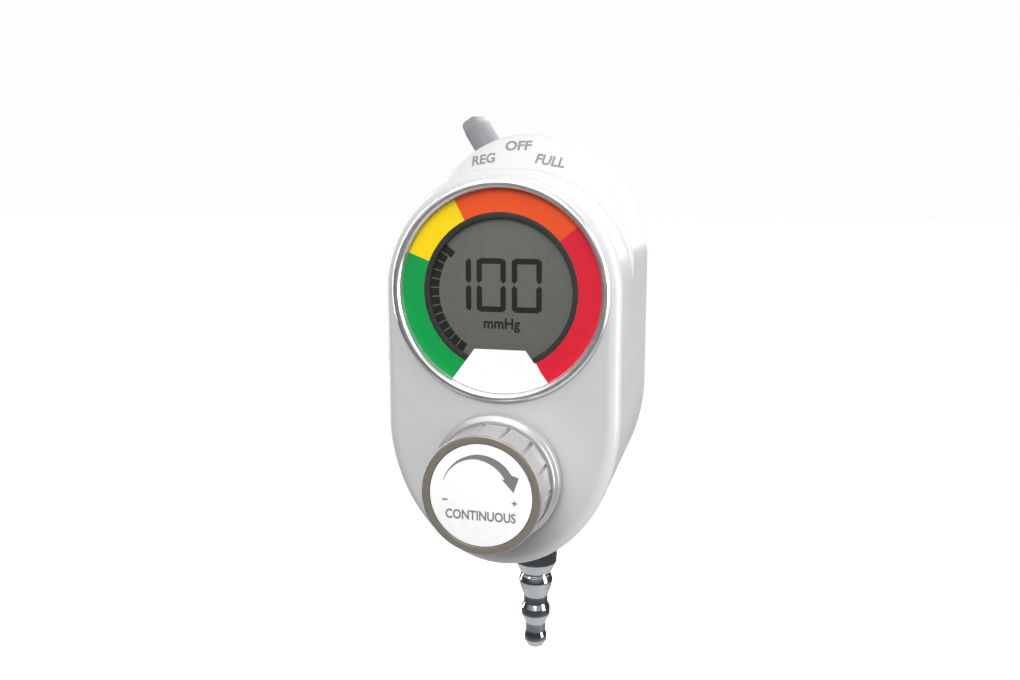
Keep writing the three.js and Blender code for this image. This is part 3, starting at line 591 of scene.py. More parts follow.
INKS = {
    "green": ink("ink_green", (0.0, 0.31, 0.063)),
    "yellow": ink("ink_yellow", (0.93, 0.66, 0.0)),
    "orange": ink("ink_orange", (0.82, 0.085, 0.012)),
    "red": ink("ink_red", (0.68, 0.011, 0.033)),
    "segment": ink("ink_segment", (0.014, 0.0145, 0.0135), 0.35),
    "legend": ink("ink_legend", (0.2, 0.21, 0.22)),
    "arrow": ink("ink_arrow", (0.2, 0.21, 0.22)),
}


def dress(piece, slot, node=None, material=None):
    """Gives a piece its finish, and hides the CAD node that it stands for."""
    piece.data.materials.clear()
    piece.data.materials.append(material or MATERIALS[slot])
    if node:
        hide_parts(node)


def place(piece, slot, node=None, material=None, body="housing"):
    """Dresses a piece and makes it move with a CAD body."""
    dress(piece, slot, node, material)
    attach(piece, body)


# ---- housing


def smooth_min(a, b, reach):
    if reach <= 0:
        return min(a, b)
    share = max(0.0, reach - abs(a - b)) / reach
    return min(a, b) - share * share * reach / 4


def smooth_max(a, b, reach):
    return -smooth_min(-a, -b, reach)


def front_radius(angle, inset=0.0):
    """Radius of the front's outline about the gauge's axis: a round top, straight sides, elliptical chin."""
    width = HALF_WIDTH - inset
    c, s = cos(angle), sin(angle)
    if s >= 0:
        return width
    chin_z = CHIN_Z - GAUGE_Z
    side = width / max(abs(c), 1e-9)
    if side * s >= chin_z:
        return side
    height = CHIN_HEIGHT - inset
    a2 = (c / width) ** 2 + (s / height) ** 2
    a1 = -2 * s * chin_z / height**2
    a0 = (chin_z / height) ** 2 - 1
    return (-a1 + sqrt(a1 * a1 - 4 * a2 * a0)) / (2 * a2)


def rear_radius(angle, inset=0.0):
    """The same for the whole rear: the head's round top and sloping flanks above the gauge's axis."""
    c, s = abs(cos(angle)), sin(angle)
    if s < 0:
        return front_radius(angle, inset)
    side = (HALF_WIDTH - inset) / max(c, 1e-9)
    lift = SELECTOR_Z - GAUGE_Z
    reach = HEAD_R - inset
    flank = (reach + lift * sin(HEAD_SLOPE)) / (c * cos(HEAD_SLOPE) + s * sin(HEAD_SLOPE))
    if flank * s > lift + reach * sin(HEAD_SLOPE):
        flank = lift * s + sqrt(reach**2 - (lift * c) ** 2)
    return smooth_min(side, flank, SOFTEN)


def cone_radius(y, inset=0.0):
    return CONE_START_R - inset * hypot(1, CONE_SLOPE) + (y - CONE_START_Y) * CONE_SLOPE


def body_radius(angle, y, inset=0.0):
    """The front's outline, then the label face's cone, up to the head's outline."""
    front = front_radius(angle, inset)
    growth = max(rear_radius(angle, inset) - front, 0.0)
    reach = min(SOFTEN, growth)
    risen = smooth_max(cone_radius(y, inset) - front, 0.0, reach)
    return front + smooth_min(risen, growth, reach)


def housing_rows(angle):
    """The section of the shell at an angle, as (radius, y), from the gauge's hole out and back inside."""
    rim = front_radius(angle, RIM_R)
    face = FRONT_Y
    face_start = GAUGE_HOLE_R + 0.3
    section = [
        (GAUGE_HOLE_R, face + WALL), (GAUGE_HOLE_R, face + 0.3), (GAUGE_HOLE_R + 0.09, face + 0.09),
        (face_start, face),
    ]
    section += [(face_start + (rim - face_start) * share, face) for share in (0.2, 0.4, 0.6, 0.8, 0.94)]
    rim_steps = 10
    for step in range(rim_steps + 1):
        swing = pi / 2 * step / rim_steps
        inset = RIM_R * (1 - sin(swing))
        section.append((front_radius(angle, inset), face + RIM_R * (1 - cos(swing))))
    # The label face runs from its foot to its crest, with close rows where it meets its neighbours.
    foot_y = CONE_START_Y + (HALF_WIDTH - CONE_START_R) / CONE_SLOPE
    growth = max(rear_radius(angle) - front_radius(angle), 0.0)
    run = max(growth / CONE_SLOPE, 4.5)
    crest_y = foot_y + run
    rim_end = face + RIM_R
    edge = 0.25
    depths = [rim_end + (foot_y - 3 - rim_end) * share for share in (0.1, 0.4, 0.7, 1)]
    depths += [foot_y + offset for offset in (-2, -1.3, -0.8, -0.4, 0, 0.4, 0.8, 1.3, 2)]
    depths += [foot_y + 2 + (run - 4) * share for share in (0.33, 0.66)]
    depths += [crest_y + offset for offset in (-2, -1.3, -0.8, -0.45, -0.15, 0.15, 0.45, 0.8, 1.3, 2)]
    depths += [crest_y + 2 + (REAR_Y - edge - crest_y - 2) * share for share in (0.1, 0.3, 0.5, 0.7, 0.9, 1)]
    section += [(body_radius(angle, y), y) for y in depths]
    section += [(body_radius(angle, REAR_Y, inset), REAR_Y) for inset in (edge, WALL)]
    inner_front = face + WALL
    inner = [y for y in depths if y > foot_y - 2.5][:-1]
    section += [(body_radius(angle, y + WALL, WALL), y) for y in reversed(inner)]
    inner_rim = front_radius(angle, WALL)
    section += [(inner_rim, y) for y in (foot_y - 5, (foot_y + inner_front) / 2, inner_front)]
    section.append(((inner_rim + GAUGE_HOLE_R) / 2, inner_front))
    return section


def housing_angles():
    """Angles round the outline, evenly spaced along its length."""
    fine = [TURN * i / 2880 for i in range(2880)]
    outline = [Vector((cos(a), sin(a))) * rear_radius(a) for a in fine]
    steps = [(outline[(i + 1) % len(outline)] - outline[i]).length for i in range(len(outline))]
    pitch = sum(steps) / COLUMNS
    chosen = []
    run = 0.0
    for angle, step in zip(fine, steps):
        if run >= pitch * len(chosen) - 1e-9:
            chosen.append(angle)
        run += step
    return chosen[:COLUMNS]


def slot_tool():
    """The lever's slot in the head's crown, with a chamfered mouth."""
    half = SELECTOR_STEP + 0.19
    steps = 36
    mouth = 0.45
    profile = [(24, SLOT_FRONT_Y), (HEAD_R - mouth, SLOT_FRONT_Y), (HEAD_R + 1, SLOT_FRONT_Y - mouth - 1)]
    profile += [(HEAD_R + 1, SLOT_REAR_Y + mouth + 1), (HEAD_R - mouth, SLOT_REAR_Y), (24, SLOT_REAR_Y)]
    angles = [pi / 2 - half + 2 * half * step / steps for step in range(steps + 1)]
    return stack("tool", [[polar(r, a, y, SELECTOR_Z) for r, y in profile] for a in angles])


def port_tool(radius, top, bottom):
    """A cutter round the hose barb's axis, by its distance below the probe's axis."""
    return shift(turn_down(rod(radius, top, bottom, segments=64)), y=PORT_Y)


def front_housing():
    angles = housing_angles()
    rows = [
        [polar(r, a, y, GAUGE_Z) for a, (r, y) in zip(angles, row)]
        for row in zip(*[housing_rows(a) for a in angles])
    ]
    shell = mesh_object("housing_shell", *grid(rows, wrap_rows=True))
    post = [(0, -34), (2.7, -34), (3.2, -33.5), (3.2, -16), (0, -16)]
    join(shell, *[lathe("tool", post, 32, x, z) for x, z in POSTS])
    mouth = [(0, FRONT_Y - 1), (11.6, FRONT_Y - 1), (10.3, FRONT_Y + 0.3), (10.3, -70), (0, -70)]
    knob_hole = lathe("tool", mouth, 72, 0, KNOB_Z)
    pilots = [rod(1.3, -29, -10, x, z, 24) for x, z in POSTS]
    cut(shell, knob_hole, slot_tool(), port_tool(6.6, 40, 52), *pilots)
    even_normals(shell)
    place(shell, "housing", "front_housing")


# ---- back cover


def outline_loop(radius, y, inset):
    """An outline about the gauge's axis, at a depth."""
    angles = [TURN * i / COLUMNS for i in range(COLUMNS)]
    return [polar(radius(a, inset), a, y, GAUGE_Z) for a in angles]


def cover_plate():
    """The plate and the lip that reaches into the housing."""
    lip_front = COVER_FRONT_Y - 2.6
    lip_out, lip_in = WALL + GAP, WALL + GAP + 1.6
    section = [
        (COVER_FRONT_Y, 20), (COVER_FRONT_Y, lip_in), (lip_front + 0.2, lip_in),
        (lip_front, lip_in - 0.2), (lip_front, lip_out + 0.4), (lip_front + 0.4, lip_out),
        (COVER_FRONT_Y, lip_out), (COVER_FRONT_Y, 0.15), (COVER_FRONT_Y + 0.15, 0),
        (COVER_REAR_Y - 0.6, 0), (COVER_REAR_Y - 0.3, 0.08), (COVER_REAR_Y - 0.08, 0.3),
        (COVER_REAR_Y, 0.6), (COVER_REAR_Y, 3), (COVER_REAR_Y, 20),
    ]
    return stack("cover_shell", [outline_loop(rear_radius, y, inset) for y, inset in section])


def gusset(angle):
    """A web from the plate up to the boss's face, with softened edges."""
    foot_y = COVER_REAR_Y - 0.5
    side = [Vector(p) for p in ((3, foot_y), (GUSSET_REACH + 0.7, foot_y), (BOSS_R, 0), (3, 0))]
    middle = Vector((10, -5))
    loops = []
    for z, inset in ((-1.15, 0.3), (-0.85, 0), (0.85, 0), (1.15, 0.3)):
        loops.append([(*(p + (middle - p).normalized() * inset), z) for p in side])
    web = stack("tool", loops)
    web.data.transform(Matrix.Rotation(angle, 4, "Y"))
    return web


def cover_foot():
    """The foot under the chin, with the collar that the hose barb comes out of."""
    collar_end = -span("back_cover")[0].z
    foot = block("tool", (-11, -37, -50.6), (11, COVER_REAR_Y, -36), 0.7, 4)
    collar = turned("tool", [(0, 42), (PORT_R, 42), (PORT_R, collar_end, 0.6), (0, collar_end)], 72)
    join(foot, shift(turn_down(collar), y=PORT_Y))
    chin = [outline_loop(front_radius, y, -GAP) for y in (-45, COVER_FRONT_Y + 0.2)]
    return cut(foot, stack("tool", chin))


def back_cover():
    shell = cover_plate()
    base = COVER_REAR_Y - 0.5
    boss = turned("tool", [(0, base), (BOSS_R, base), (BOSS_R, 0, 0.5), (0, 0)], 96)
    join(shell, boss, *[gusset(TURN * quarter / 4) for quarter in range(4)])
    join(shell, cover_foot())
    holes = [rod(PROBE_R + 0.4, -20, 1, segments=64), port_tool(6.4, 30, 60)]
    for places, shank, head in ((POSTS, 1.6, 3.1), (MANIFOLD_SCREWS, 2, 3.6)):
        seat = [(shank, -20), (shank, -11.0), (head, -11.0), (head, -10.4), (head + 0.6, -9.8)]
        holes += [lathe("tool", [(0, -20), *seat, (0, -9.8)], 36, x, z) for x, z in places]
    cut(shell, *holes)
    even_normals(shell)
    place(shell, "cover", "back_cover")


# ---- screws


def cheese_screw(node, body="housing"):
    """A slotted cheese-head screw in a CAD screw's place, along Y."""
    low, high = span(node)
    head_r = (high.x - low.x) / 2
    x, z = (low.x + high.x) / 2, (low.z + high.z) / 2
    tall, shank, faces_front = SCREWS[node.rstrip("_1234")]
    length = high.y - low.y - tall
    profile = [
        (0, -length), (shank * 0.6, -length), (shank, -length + 0.5), (shank, 0), (head_r, 0, 0.1),
        (head_r, tall, 0.35), (0, tall),
    ]
    screw = turned(node + "_fine", profile, 48)
    slot_low = (-head_r - 1, tall * 0.45, -head_r * 0.16)
    slot_high = (head_r + 1, tall + 1, head_r * 0.16)
    cut(screw, block("tool", slot_low, slot_high, 0.02, 1))
    screw.data.transform(Matrix.Rotation(radians(37 * (x + z)), 4, "Y"))  # each slot at its own angle
    if faces_front:
        screw.data.transform(Matrix.Rotation(pi, 4, "Z"))
    shift(screw, x, low.y + tall if faces_front else high.y - tall, z)
    place(screw, "steel", node, body=body)


# ---- gauge


def dial_print(name, outline, material, proud=0.05):
    """A printed field just in front of the dial plate."""
    piece = prism(name, outline, dial_low.y - proud, dial_low.y - 0.005)
    place(piece, "dial", material=material)


def lcd_print(name, outline):
    """A dark segment just in front of the LCD panel, from its outline about the gauge's axis."""
    raised = [(x, z + GAUGE_Z) for x, z in outline]
    place(prism(name, raised, lcd_low.y - 0.03, lcd_low.y - 0.004), "lcd", material=INKS["segment"])


def gauge():
    front = bezel_low.y
    inner = DIAL_R + 0.08
    profile = [
        (inner, front + 0.75, 0.12), (inner + 0.55, front + 0.06, 0.35), (BEZEL_R - 0.75, front, 0.6),
        (BEZEL_R, front + 0.65, 0.5), (BEZEL_R, FRONT_Y - 0.04, 0.04), (inner + 0.85, FRONT_Y - 0.04),
        (inner + 0.85, FRONT_Y + WALL, 0.1), (inner, FRONT_Y + WALL, 0.1),
    ]
    ring = turned("bezel_ring", profile, 192, GAUGE_Z, steps=5)
    place(ring, "chrome", "gauge_bezel", MATERIALS["rim"])
    profile = [(0, lens_low.y), (DIAL_R, lens_low.y, 0.35), (DIAL_R, lens_high.y, 0.15), (0, lens_high.y)]
    place(turned("lens_window", profile, 160, GAUGE_Z), "lens", "gauge_lens")
    hole = LCD_R - 0.7
    profile = [
        (hole, dial_low.y, 0.05), (DIAL_R, dial_low.y, 0.1), (DIAL_R, dial_high.y, 0.1),
        (hole, dial_high.y, 0.1),
    ]
    place(turned("dial_ring", profile, 160, GAUGE_Z), "dial", "dial_plate")
    # The black ring covers the LCD window's wall, and its band on the dial's face is painted shadow where the dial
    # steps down to the LCD.
    profile = [
        (hole - 0.35, dial_low.y - 0.06, 0.1), (LCD_R + 0.55, dial_low.y - 0.06, 0.03),
        (LCD_R + 0.55, dial_low.y - 0.01), (hole - 0.02, dial_low.y - 0.01),
        (hole - 0.02, dial_high.y + 0.2), (hole - 0.35, dial_high.y + 0.2),
    ]
    place(turned("dial_black_edge_and_painted_shadow", profile, 160, GAUGE_Z), "black")
    zones = (("green", -153, -68), ("yellow", -68, -27), ("orange", -27, 50), ("red", 50, 152))
    for colour, start, end in zones:
        start, end = radians(start + 0.01), radians(end - 0.01)
        outline = ring_sector(LCD_R + 0.57, DIAL_R - 0.1, start, end, GAUGE_Z)
        dial_print("dial_zone_" + colour, outline, INKS[colour])
    label_r = DIAL_R - 0.05
    foot = asin(14.1 / label_r)
    label = arc(label_r, -pi / 2 - foot, -pi / 2 + foot, 24, 0, GAUGE_Z)
    label += [(7.5, GAUGE_Z - 16.4), (-7.5, GAUGE_Z - 16.4)]
    dial_print("dial_label", label, MATERIALS["dial"], 0.11)


def lcd():
    rim = lcd_high.x
    profile = [(0, lcd_low.y), (rim, lcd_low.y, 0.2), (rim, lcd_high.y, 0.2), (0, lcd_high.y)]
    place(turned("lcd_glass", profile, 96, GAUGE_Z), "lcd", "lcd_panel")
    bars, first, pitch, gap = 13, -147, 7.5, 0.95  # the bar graph, in degrees
    for i in range(bars):
        start, end = radians(first + i * pitch), radians(first + (i + 1) * pitch - gap)
        inner = 17.3 if i == bars - 1 else 18.3
        lcd_print(f"lcd_bar_{i + 1:02d}", ring_sector(inner, LCD_R - 0.75, start, end, 0, 4))
    digit("lcd_digit_hundreds", -10.3, -8.7, all_lit=False)
    digit("lcd_digit_tens", -7.1, 1.5)
    digit("lcd_digit_units", 3.2, 11.9)
    unit = lettering("lcd_unit", "mmHg", 10.7, 4.3, 0.02, 0.1)
    settle(unit, 0.3, GAUGE_Z - 9.5, lambda x, z: lcd_low.y - 0.02)
    place(unit, "lcd", material=INKS["segment"])


def digit(name, left, right, all_lit=True):
    """A seven-segment 0, or a 1 from its right-hand segments, with mitred ends."""
    low, middle, high = -5.8, 2.1, 9.5
    stroke, gap = 1.6, 0.14
    slant = stroke * 0.45
    sides = [(right, -1), (left, 1)] if all_lit else [(right, -1)]
    outlines = []
    for bottom, top in ((low, middle), (middle, high)):
        z0 = bottom + (gap if bottom == low else gap * 1.6)
        z1 = top - (gap if top == high else gap * 1.6)
        for x, inwards in sides:
            slanted, inner = x + inwards * slant, x + inwards * stroke
            outline = [(x, z0 + slant), (x, z1 - slant), (slanted, z1)]
            outline += [(inner, z1 - stroke + slant), (inner, z0 + stroke - slant), (slanted, z0)]
            outlines.append(outline)
    for z, turn in ((high, -1), (low, 1)) if all_lit else ():
        outer = [(left + slant + gap, z), (right - slant - gap, z)]
        inner_z = z + turn * stroke
        outlines.append(outer + [(right - stroke - gap / 2, inner_z), (left + stroke + gap / 2, inner_z)])
    for i, outline in enumerate(outlines):
        lcd_print(f"{name}_{i + 1}", outline)


# ---- lettering


def lettering(name, text, width, size, depth, bold):
    """Plain letters as a closed mesh on the origin, in millimetres, stretched along X to a width."""
    curve = bpy.data.curves.new(name, "FONT")
    curve.body = text
    curve.size = size
    curve.align_x = "CENTER"
    curve.align_y = "CENTER"
    curve.extrude = depth / 2
    curve.offset = bold
    curve.resolution_u = 4
    holder = new_object(name + "_curve", curve)
    bpy.context.view_layer.update()
    made = holder.evaluated_get(bpy.context.evaluated_depsgraph_get())
    work = bmesh.new()
    work.from_mesh(bpy.data.meshes.new_from_object(made))
    bpy.data.objects.remove(holder)
    piece = solid(name, work, merge=1e-4)
    xs, ys = zip(*[v.co.xy for v in piece.data.vertices])
    middle = Vector(((max(xs) + min(xs)) / 2, (max(ys) + min(ys)) / 2, 0))
    share = width / (max(xs) - min(xs))
    for v in piece.data.vertices:
        v.co = v.co - middle
        v.co.x *= share
    return piece


def settle(piece, x, z, depth_at, angle=0.0):
    """Lays letters on a surface whose depth along Y is depth_at(x, z)."""
    turn = Matrix.Rotation(angle, 2)
    for v in piece.data.vertices:
        px, pz = Vector((x, z)) + turn @ v.co.xy
        v.co = Vector((px, depth_at(px, pz) - v.co.z, pz)) * MM
    shade(piece.data)


def cone_depth(x, z):
    """Depth of the label face at a place in front view."""
    return CONE_START_Y + (hypot(x, z - GAUGE_Z) - CONE_START_R) / CONE_SLOPE


def selector_legend():
    """The three positions' names, bent over the label face."""
    legend = (("REG", -30, 26.0, 7.8, 8), ("OFF", -5, 26.7, 8.4, 0), ("FULL", 21.5, 23.4, 9.0, -10))
    for text, degrees, reach, width, tilt in legend:
        piece = lettering("legend_" + text.lower(), text, width, 4.1, 0.06, 0.13)
        angle = radians(degrees)
        x, z = reach * sin(angle), SELECTOR_Z + reach * cos(angle)
        settle(piece, x, z, cone_depth, radians(tilt))
        place(piece, "housing", material=INKS["legend"])


# ---- knob


def fluted(angle, radius, y):
    """Flat lobes with a narrow flute between each two, fading out towards the front rim."""
    grip_front = knob_low.y + 0.9
    if radius < KNOB_R - 1 or not grip_front <= y <= GRIP_REAR_Y + 0.05:
        return radius
    pitch = TURN / FLUTES
    along = ((angle + FLUTE_PHASE) / pitch + 0.5) % 1 - 0.5
    fade = min(1, (y - grip_front) / 1.9)
    fade = fade * fade * (3 - 2 * fade)
    deepen = 0.75 + 0.07 * max(0, y - knob_low.y - 3)
    flute = max(0, 1 - abs(along) / 0.085) * deepen
    flat = KNOB_R * (1 - cos(pitch / 2) / cos((0.5 - abs(along)) * pitch))
    return radius - fade * (flute + flat * 0.9)


def knob():
    crown, rear = knob_low.y, knob_high.y
    grip_rows = (-97.0, -96.6, -96.2, -95.7, -95.2, -94.5, -93.5, -92.5, -89, -86.2)
    profile = [
        (0, crown + 1), (DISC_R + 0.15, crown + 1), (DISC_R + 0.15, crown, 0.15),
        (KNOB_R - 0.15, crown, 1.0), *[(KNOB_R, y) for y in grip_rows], (KNOB_R, GRIP_REAR_Y, 0.1),
        (KNOB_R - 2.2, GRIP_REAR_Y + 0.1), (KNOB_R - 2.2, GRIP_REAR_Y + 0.9),
        (17.3, GRIP_REAR_Y + 0.95, 0.2), (17.6, GRIP_REAR_Y + 1.3, 0.2),
        (KNOB_FLANGE_R, GRIP_REAR_Y + 2, 0.6), (KNOB_FLANGE_R, rear, 0.5), (14, rear), (14, -94),
        (7.6, -94), (7.6, rear), (STEM_HOLE_R, rear), (STEM_HOLE_R, -93), (0, -93),
    ]
    grip = lathe("knob_grip", rounded(profile, steps=5), FLUTES * 24, 0, KNOB_Z, fluted, 24)
    cut(grip, shift(turn_down(rod(1.8, 2, 20, segments=32)), y=-88, z=KNOB_Z))
    place(grip, "knob", "regulator_knob", body="knob")
    grip.data.materials.append(MATERIALS["knob_rim"])  # for the faces round the front rim: a darker, browner copy of the knob plastic that paints the dark reflection there
    for face in grip.data.polygons:
        if face.center.y < (crown + 0.4) * MM:
            face.material_index = 1
    rim = DISC_R - 0.1
    profile = [(0, disc_low.y), (rim, disc_low.y, 0.25), (rim, disc_high.y), (0, disc_high.y)]
    place(turned("knob_label", profile, 128, KNOB_Z), "disc", "knob_disc", body="knob")
    profile = [
        (STEM_HOLE_R, -79.5, 0.1), (12.9, -79.5, 0.3), (12.9, -78.55), (10, -78.55), (10, -73, 0.2),
        (8.9, -73, 0.2), (8.9, -78.1), (STEM_HOLE_R, -78.1, 0.1),
    ]
    place(turned("bushing_flange", profile, 96, KNOB_Z), "dark", "knob_bushing")
    knob_marks()


def knob_print(name, outline):
    """A printed mark just in front of the knob's disc, from its outline about the knob's axis."""
    raised = [(x, z + KNOB_Z) for x, z in outline]
    piece = prism(name, raised, disc_low.y - 0.03, disc_low.y - 0.004)
    place(piece, "disc", material=INKS["arrow"], body="knob")


def knob_arrow():
    """A tapering arc with a head: it says that turning clockwise gives more."""
    angles = (161, 144, 127, 111, 95, 79, 64, 50, 37)
    radii = (11.0, 11.1, 11.1, 11.0, 10.9, 10.55, 10.25, 9.95, 9.65)
    widths = (0.12, 0.35, 0.62, 0.95, 1.4, 1.85, 2.15, 2.3, 2.35)
    stations = [Vector(station) for station in zip(angles, radii, widths)]
    smooth = [p.lerp(q, i / 4) for p, q in zip(stations, stations[1:]) for i in range(4)] + stations[-1:]

    def at(degrees, radius):
        return (radius * cos(radians(degrees)), radius * sin(radians(degrees)))

    outer = [at(a, r + w / 2) for a, r, w in smooth]
    inner = [at(a, r - w / 2) for a, r, w in reversed(smooth)]
    return outer + [at(28.4, 12.2), at(9.8, 9.4), at(41.5, 7.9)] + inner


def knob_marks():
    knob_print("knob_arrow", knob_arrow())
    bar, reach = 0.22, 0.75  # half the width and half the length of a sign's stroke
    corners = ((-reach, -bar), (reach, -bar), (reach, bar), (-reach, bar))
    knob_print("knob_minus", [(x - 10, z - 1.6) for x, z in corners])
    plus = []
    for quarter in range(4):
        turn = Matrix.Rotation(TURN * quarter / 4, 2)
        plus += [turn @ Vector(p) for p in ((reach, bar), (bar, bar), (bar, reach))]
    knob_print("knob_plus", [(x + 9.5, z - 1.3) for x, z in plus])
    legend = lettering("knob_legend", "CONTINUOUS", 19.7, 3.65, 0.03, 0.09)
    settle(legend, 0, KNOB_Z - 5.5, lambda x, z: disc_low.y - 0.02)
    place(legend, "disc", material=INKS["arrow"], body="knob")


# ---- selector lever


def lever_tab():
    """The finger tab: a flat front face under a sloping crown, sides that spread towards the rear,
    and a flat top with round corners.
    """
    foot = SELECTOR_Z + HEAD_R + GAP
    tip = SELECTOR_Z + LEVER_TIP_R
    brow = tip - 3.4  # where the crown starts
    corner, turn_r, edge = 3.4, 1.7, 0.9
    heights = [foot + (brow - foot) * share for share in (0, 0.02, 0.15, 0.4, 0.7, 0.97, 1)]
    heights += [tip - corner + corner * sin(TURN / 4 * step / 12) for step in range(13)]

    def drop(radius, reach):
        """How far a quarter circle falls away by a reach along it."""
        return radius - sqrt(max(0, radius**2 - max(0, reach) ** 2))

    loops = []
    for z in heights:
        rise = min(1, (z - foot) / (brow - foot))
        past = max(0, z - brow) / (tip - brow)
        inset = 0.8 * drop(edge, z - tip + edge)
        half = TAB_HALF - drop(corner, z - tip + corner)
        nose = min(2.1 + 0.5 * rise - 0.7 * drop(turn_r, z - tip + turn_r), half - 0.1)
        front, rear = -36.6 + 1.7 * rise + 2 * past + inset, -26 - inset
        corners = [(-nose, front, 0.5), (nose, front, 0.5), (half, rear, 0.7), (-half, rear, 0.7)]
        loops.append([(x, y, z) for x, y in rounded(corners, closed=True)])
    return stack("lever_tab", loops, 40)


def lever():
    tab = lever_tab()
    arm_low = (-3, SLOT_FRONT_Y + 0.5, SELECTOR_Z + 5)
    arm_high = (3, SLOT_REAR_Y - 0.6, SELECTOR_Z + HEAD_R + 2)
    half = SELECTOR_STEP * 2 + 0.24
    shutter = ring_sector(26.2, 27.5, -half, half, SELECTOR_Z)
    heel = ring_sector(5, 13.6, pi - 0.75, pi + 0.75, SELECTOR_Z)
    join(
        tab,
        block("tool", arm_low, arm_high, 0.4),
        prism("tool", shutter, SLOT_FRONT_Y - 1.6, SLOT_REAR_Y + 1.4),
        rod(6.6, SLOT_FRONT_Y, SLOT_REAR_Y, 0, SELECTOR_Z, 64),
        prism("tool", heel, -27, SLOT_REAR_Y),
    )
    cut(tab, rod(4.3, -40, -20, 0, SELECTOR_Z, 48))
    pivot = Vector((0, 0, SELECTOR_Z)) * MM
    turn = Matrix.Rotation(-SELECTOR_STEP, 4, "Y")
    tab.data.transform(Matrix.Translation(pivot) @ turn @ Matrix.Translation(-pivot))
    place(tab, "lever", "selector_lever", body="selector")


# ---- probe and hose barb


def probe():
    tip = probe_high.y
    neck_r, collar_r, groove_r = PROBE_R - 0.9, 6.2, 5.58
    profile = [
        (BORE_R, -22.5), (PROBE_R, -22.5, 0.2), (PROBE_R, -16.5), (PROBE_R - 0.27, -16.5),
        (PROBE_R - 0.27, 3.8), (collar_r, 3.8, 0.45), (collar_r, 11.6, 0.3), (neck_r, 11.6),
        (neck_r, 25), (PROBE_R, 25, 0.15), (PROBE_R, 32.9, 0.3), (groove_r, 33.9, 0.9),
        (groove_r, 36.1, 0.9), (PROBE_R, 37.1, 0.3), (PROBE_R, tip - 1.1, 0.35),
        (PROBE_R - 0.85, tip, 0.25), (BORE_R + 0.25, tip), (BORE_R, tip - 0.25),
    ]
    place(turned("probe_pin", profile, 128, steps=6), "chrome", "probe_nipple")
    inner, outer = PROBE_R - 0.6, 6.35
    profile = [
        (inner, sleeve_low.y), (outer, sleeve_low.y, 0.15), (outer, 23.6, 0.15),
        (outer - 0.45, sleeve_high.y, 0.15), (inner, sleeve_high.y),
    ]
    place(turned("sleeve_collar", profile, 112), "dark", "probe_sleeve")


def barb():
    tip = -barb_low.z
    profile = [(BORE_R, 26), (5, 26, 0.2), (5, 40), (6.05, 40, 0.2), (6.05, 57.2)]
    profile += [(7.2, 57.2, 0.3), (7.2, 64.6, 0.3), (5.35, 68.3, 0.8), (4.75, 69.0, 0.4), (5.3, 69.7, 0.3)]
    profile += [(5.9, 71.5, 1.6), (5.25, 74.2, 1.6), (4.15, 77.2, 1.4), (4.1, 79.8, 0.8)]
    profile += [(4.95, 81.7, 1.0), (4.95, 84.2, 1.4), (3.5, 87.4, 1.2), (3.4, 90.6, 0.7)]
    profile += [(3.88, 92.1, 0.8), (3.88, 93.8, 1.0), (2.75, tip, 0.3)]
    profile += [(BORE_R + 0.2, tip), (BORE_R, tip - 0.3)]
    body = turned("barb_fitting", profile, 128, steps=6, sharp=35)
    corner_r = 6.7 / cos(pi / 6)
    hexagon = [polar(corner_r, TURN * (i + 0.5) / 6, 0)[::2] for i in range(6)]
    top, bottom = 57.25, 64.55
    nut = prism("tool", hexagon, top, bottom, 0.02)
    dome = [(0, top), (6.9, top), (7.75, 57.8, 0.2), (7.75, 64.0, 0.2), (6.9, bottom), (0, bottom)]
    combine(nut, [turned("tool", dome, 96)], "INTERSECT")
    cut(nut, rod(4, 50, 70))
    join(body, nut)
    shift(turn_down(body), y=PORT_Y)
    place(body, "chrome", "hose_barb", MATERIALS["barb"])
    top, bottom = -seal_high.z, -seal_low.z
    profile = [(6.35, top, 0.2), (7.2, top, 0.3), (7.2, bottom, 0.4), (6.35, bottom, 0.2)]
    ring = turned("barb_gasket", profile, 96)
    shift(turn_down(ring), y=PORT_Y)
    place(ring, "rubber", "barb_seal")


# ---- inside


def helix_spring(node, radius, wire, turns, pushed_by=None):
    """A wire spring in a CAD spring's place, with closed end coils; with pushed_by given, it follows no body and
    its place is baked into its points.
    """
    low, high = span(node)
    x, z = (low.x + high.x) / 2, (low.z + high.z) / 2
    y0, y1 = low.y + wire, high.y - wire
    dead = 0.75
    total = turns + 2 * dead
    steps = round(total * 28)
    around = [TURN * k / 12 for k in range(12)]
    along = Vector((0, 1, 0))
    loops = []
    for step in range(steps + 1):
        coil = total * step / steps
        live = min(max(coil - dead, 0), turns) / turns
        out = Vector((cos(TURN * coil), 0, sin(TURN * coil)))
        middle = out * radius + Vector((x, y0 + (y1 - y0) * live, z))
        loops.append([middle + wire * (out * cos(a) + along * sin(a)) for a in around])
    piece = stack(node + "_wire", loops, 60)
    if pushed_by is None:
        place(piece, "steel", node)
        return
    dress(piece, "steel", node)
    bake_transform(piece)


def o_ring(node, radius, thickness, body):
    """A rubber ring in a CAD ring's place; thickness is its section's radius."""
    low, high = span(node)
    x, y, z = (low + high) / 2
    angles = [TURN * i / 20 for i in range(20)]
    profile = [(radius + thickness * cos(a), y + thickness * sin(a)) for a in angles]
    place(lathe(node + "_ring", profile, 80, x, z), "rubber", node, body=body)


def inside():
    for node in frame["nodes"]:
        if node.rstrip("_1234") in SCREWS:
            cheese_screw(node, "selector" if node == "lever_screw" else "housing")
    helix_spring("range_spring", 6.6, 0.7, 5, "seat")
    helix_spring("poppet_spring", 2.5, 0.38, 3, "diaphragm_stack")
    helix_spring("detent_spring", 0.8, 0.19, 2)
    o_ring("probe_seal", 5.75, 0.85, "housing")
    o_ring("selector_seal", 7.3, 0.65, "selector")


# ---- stage


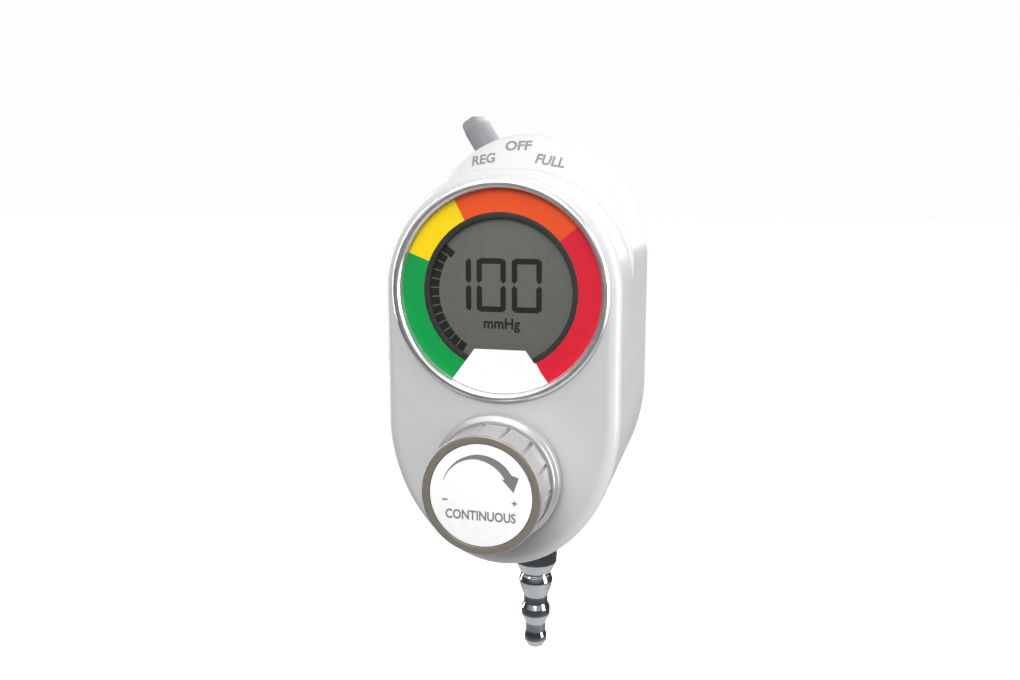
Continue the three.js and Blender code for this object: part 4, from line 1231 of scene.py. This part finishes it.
def finish_cad_nodes():
    """Gives every CAD node that still shows the material of its slot."""
    slots = {part["node"]: part["material_slot"] for part in frame["record"]["subparts"]}
    for name, node in frame["nodes"].items():
        if not node.hide_render:
            dress(node, slots[name])


def camera():
    data = bpy.data.cameras.new("camera")
    data.sensor_width = 36
    data.lens = 32.28
    data.clip_start = 0.01
    yaw, pitch = radians(-14.14), radians(-9.12)
    rotation = (pi / 2 + pitch, 0, -yaw)
    bpy.context.scene.camera = new_object("camera", data, rotation, (0.0655, -0.3253, 0.0621))


def facing(direction):
    """The rotation of a light that shines along a direction."""
    return direction.to_track_quat("-Z", "Y").to_euler()


def softbox(name, where, size, power):
    """A rectangular light, aimed at the middle of the object."""
    data = bpy.data.lights.new(name, "AREA")
    data.shape = "RECTANGLE"
    data.size, data.size_y = size
    data.energy = power
    new_object(name, data, facing(Vector((0, -0.04, 0.01)) - Vector(where)), where)


def studio():
    """A pale floor, a pale surround with a darker band at eye level, and soft lights."""
    world = bpy.data.worlds.new("studio")
    bpy.context.scene.world = world
    tree = Tree(world)
    upwards = tree.add("SeparateXYZ", Vector=tree.add("TexCoord").outputs["Generated"]).outputs["Z"]
    levels = [(0.0, 0.3), (0.44, 0.3), (0.48, 0.07), (0.57, 0.07), (0.66, 0.55), (1.0, 0.6)]
    stops = [(height, (level,) * 3) for height, level in levels]
    band = tree.ramp(tree.maths("MULTIPLY_ADD", upwards, 0.5, 0.5), stops)
    seen = tree.add("LightPath").outputs["Is Camera Ray"]
    tree.feed(tree.nodes["Background"], Color=tree.mix(seen, band, (0.98, 0.98, 0.98, 1)))

    reach, floor_z = 20000, barb_low.z - 350
    corners = [(x * reach, y * reach, floor_z) for x, y in ((-1, -1), (1, -1), (1, 1), (-1, 1))]
    floor = mesh_object("floor", corners, [(0, 1, 2, 3)])
    floor.data.materials.append(floor_painted_light("floor_painted_light"))

    softbox("key", (0.03, -0.85, 0.5), (0.5, 0.5), 5.1)
    softbox("left", (-0.72, 0.3, 0.15), (0.12, 0.8), 4.4)
    softbox("right", (0.78, -0.12, 0.12), (0.3, 0.7), 7)
    softbox("back", (0.1, 0.85, 0.35), (0.3, 0.6), 4)
    data = bpy.data.lights.new("overhead", "SUN")
    data.energy = 1.75
    data.angle = radians(70)
    new_object("overhead", data, facing(Vector((0.2, 0.45, -1))))


camera()
front_housing()
back_cover()
gauge()
lcd()
selector_legend()
knob()
lever()
probe()
barb()
inside()
finish_cad_nodes()
studio()
bpy.context.scene.view_settings.view_transform = "Standard"
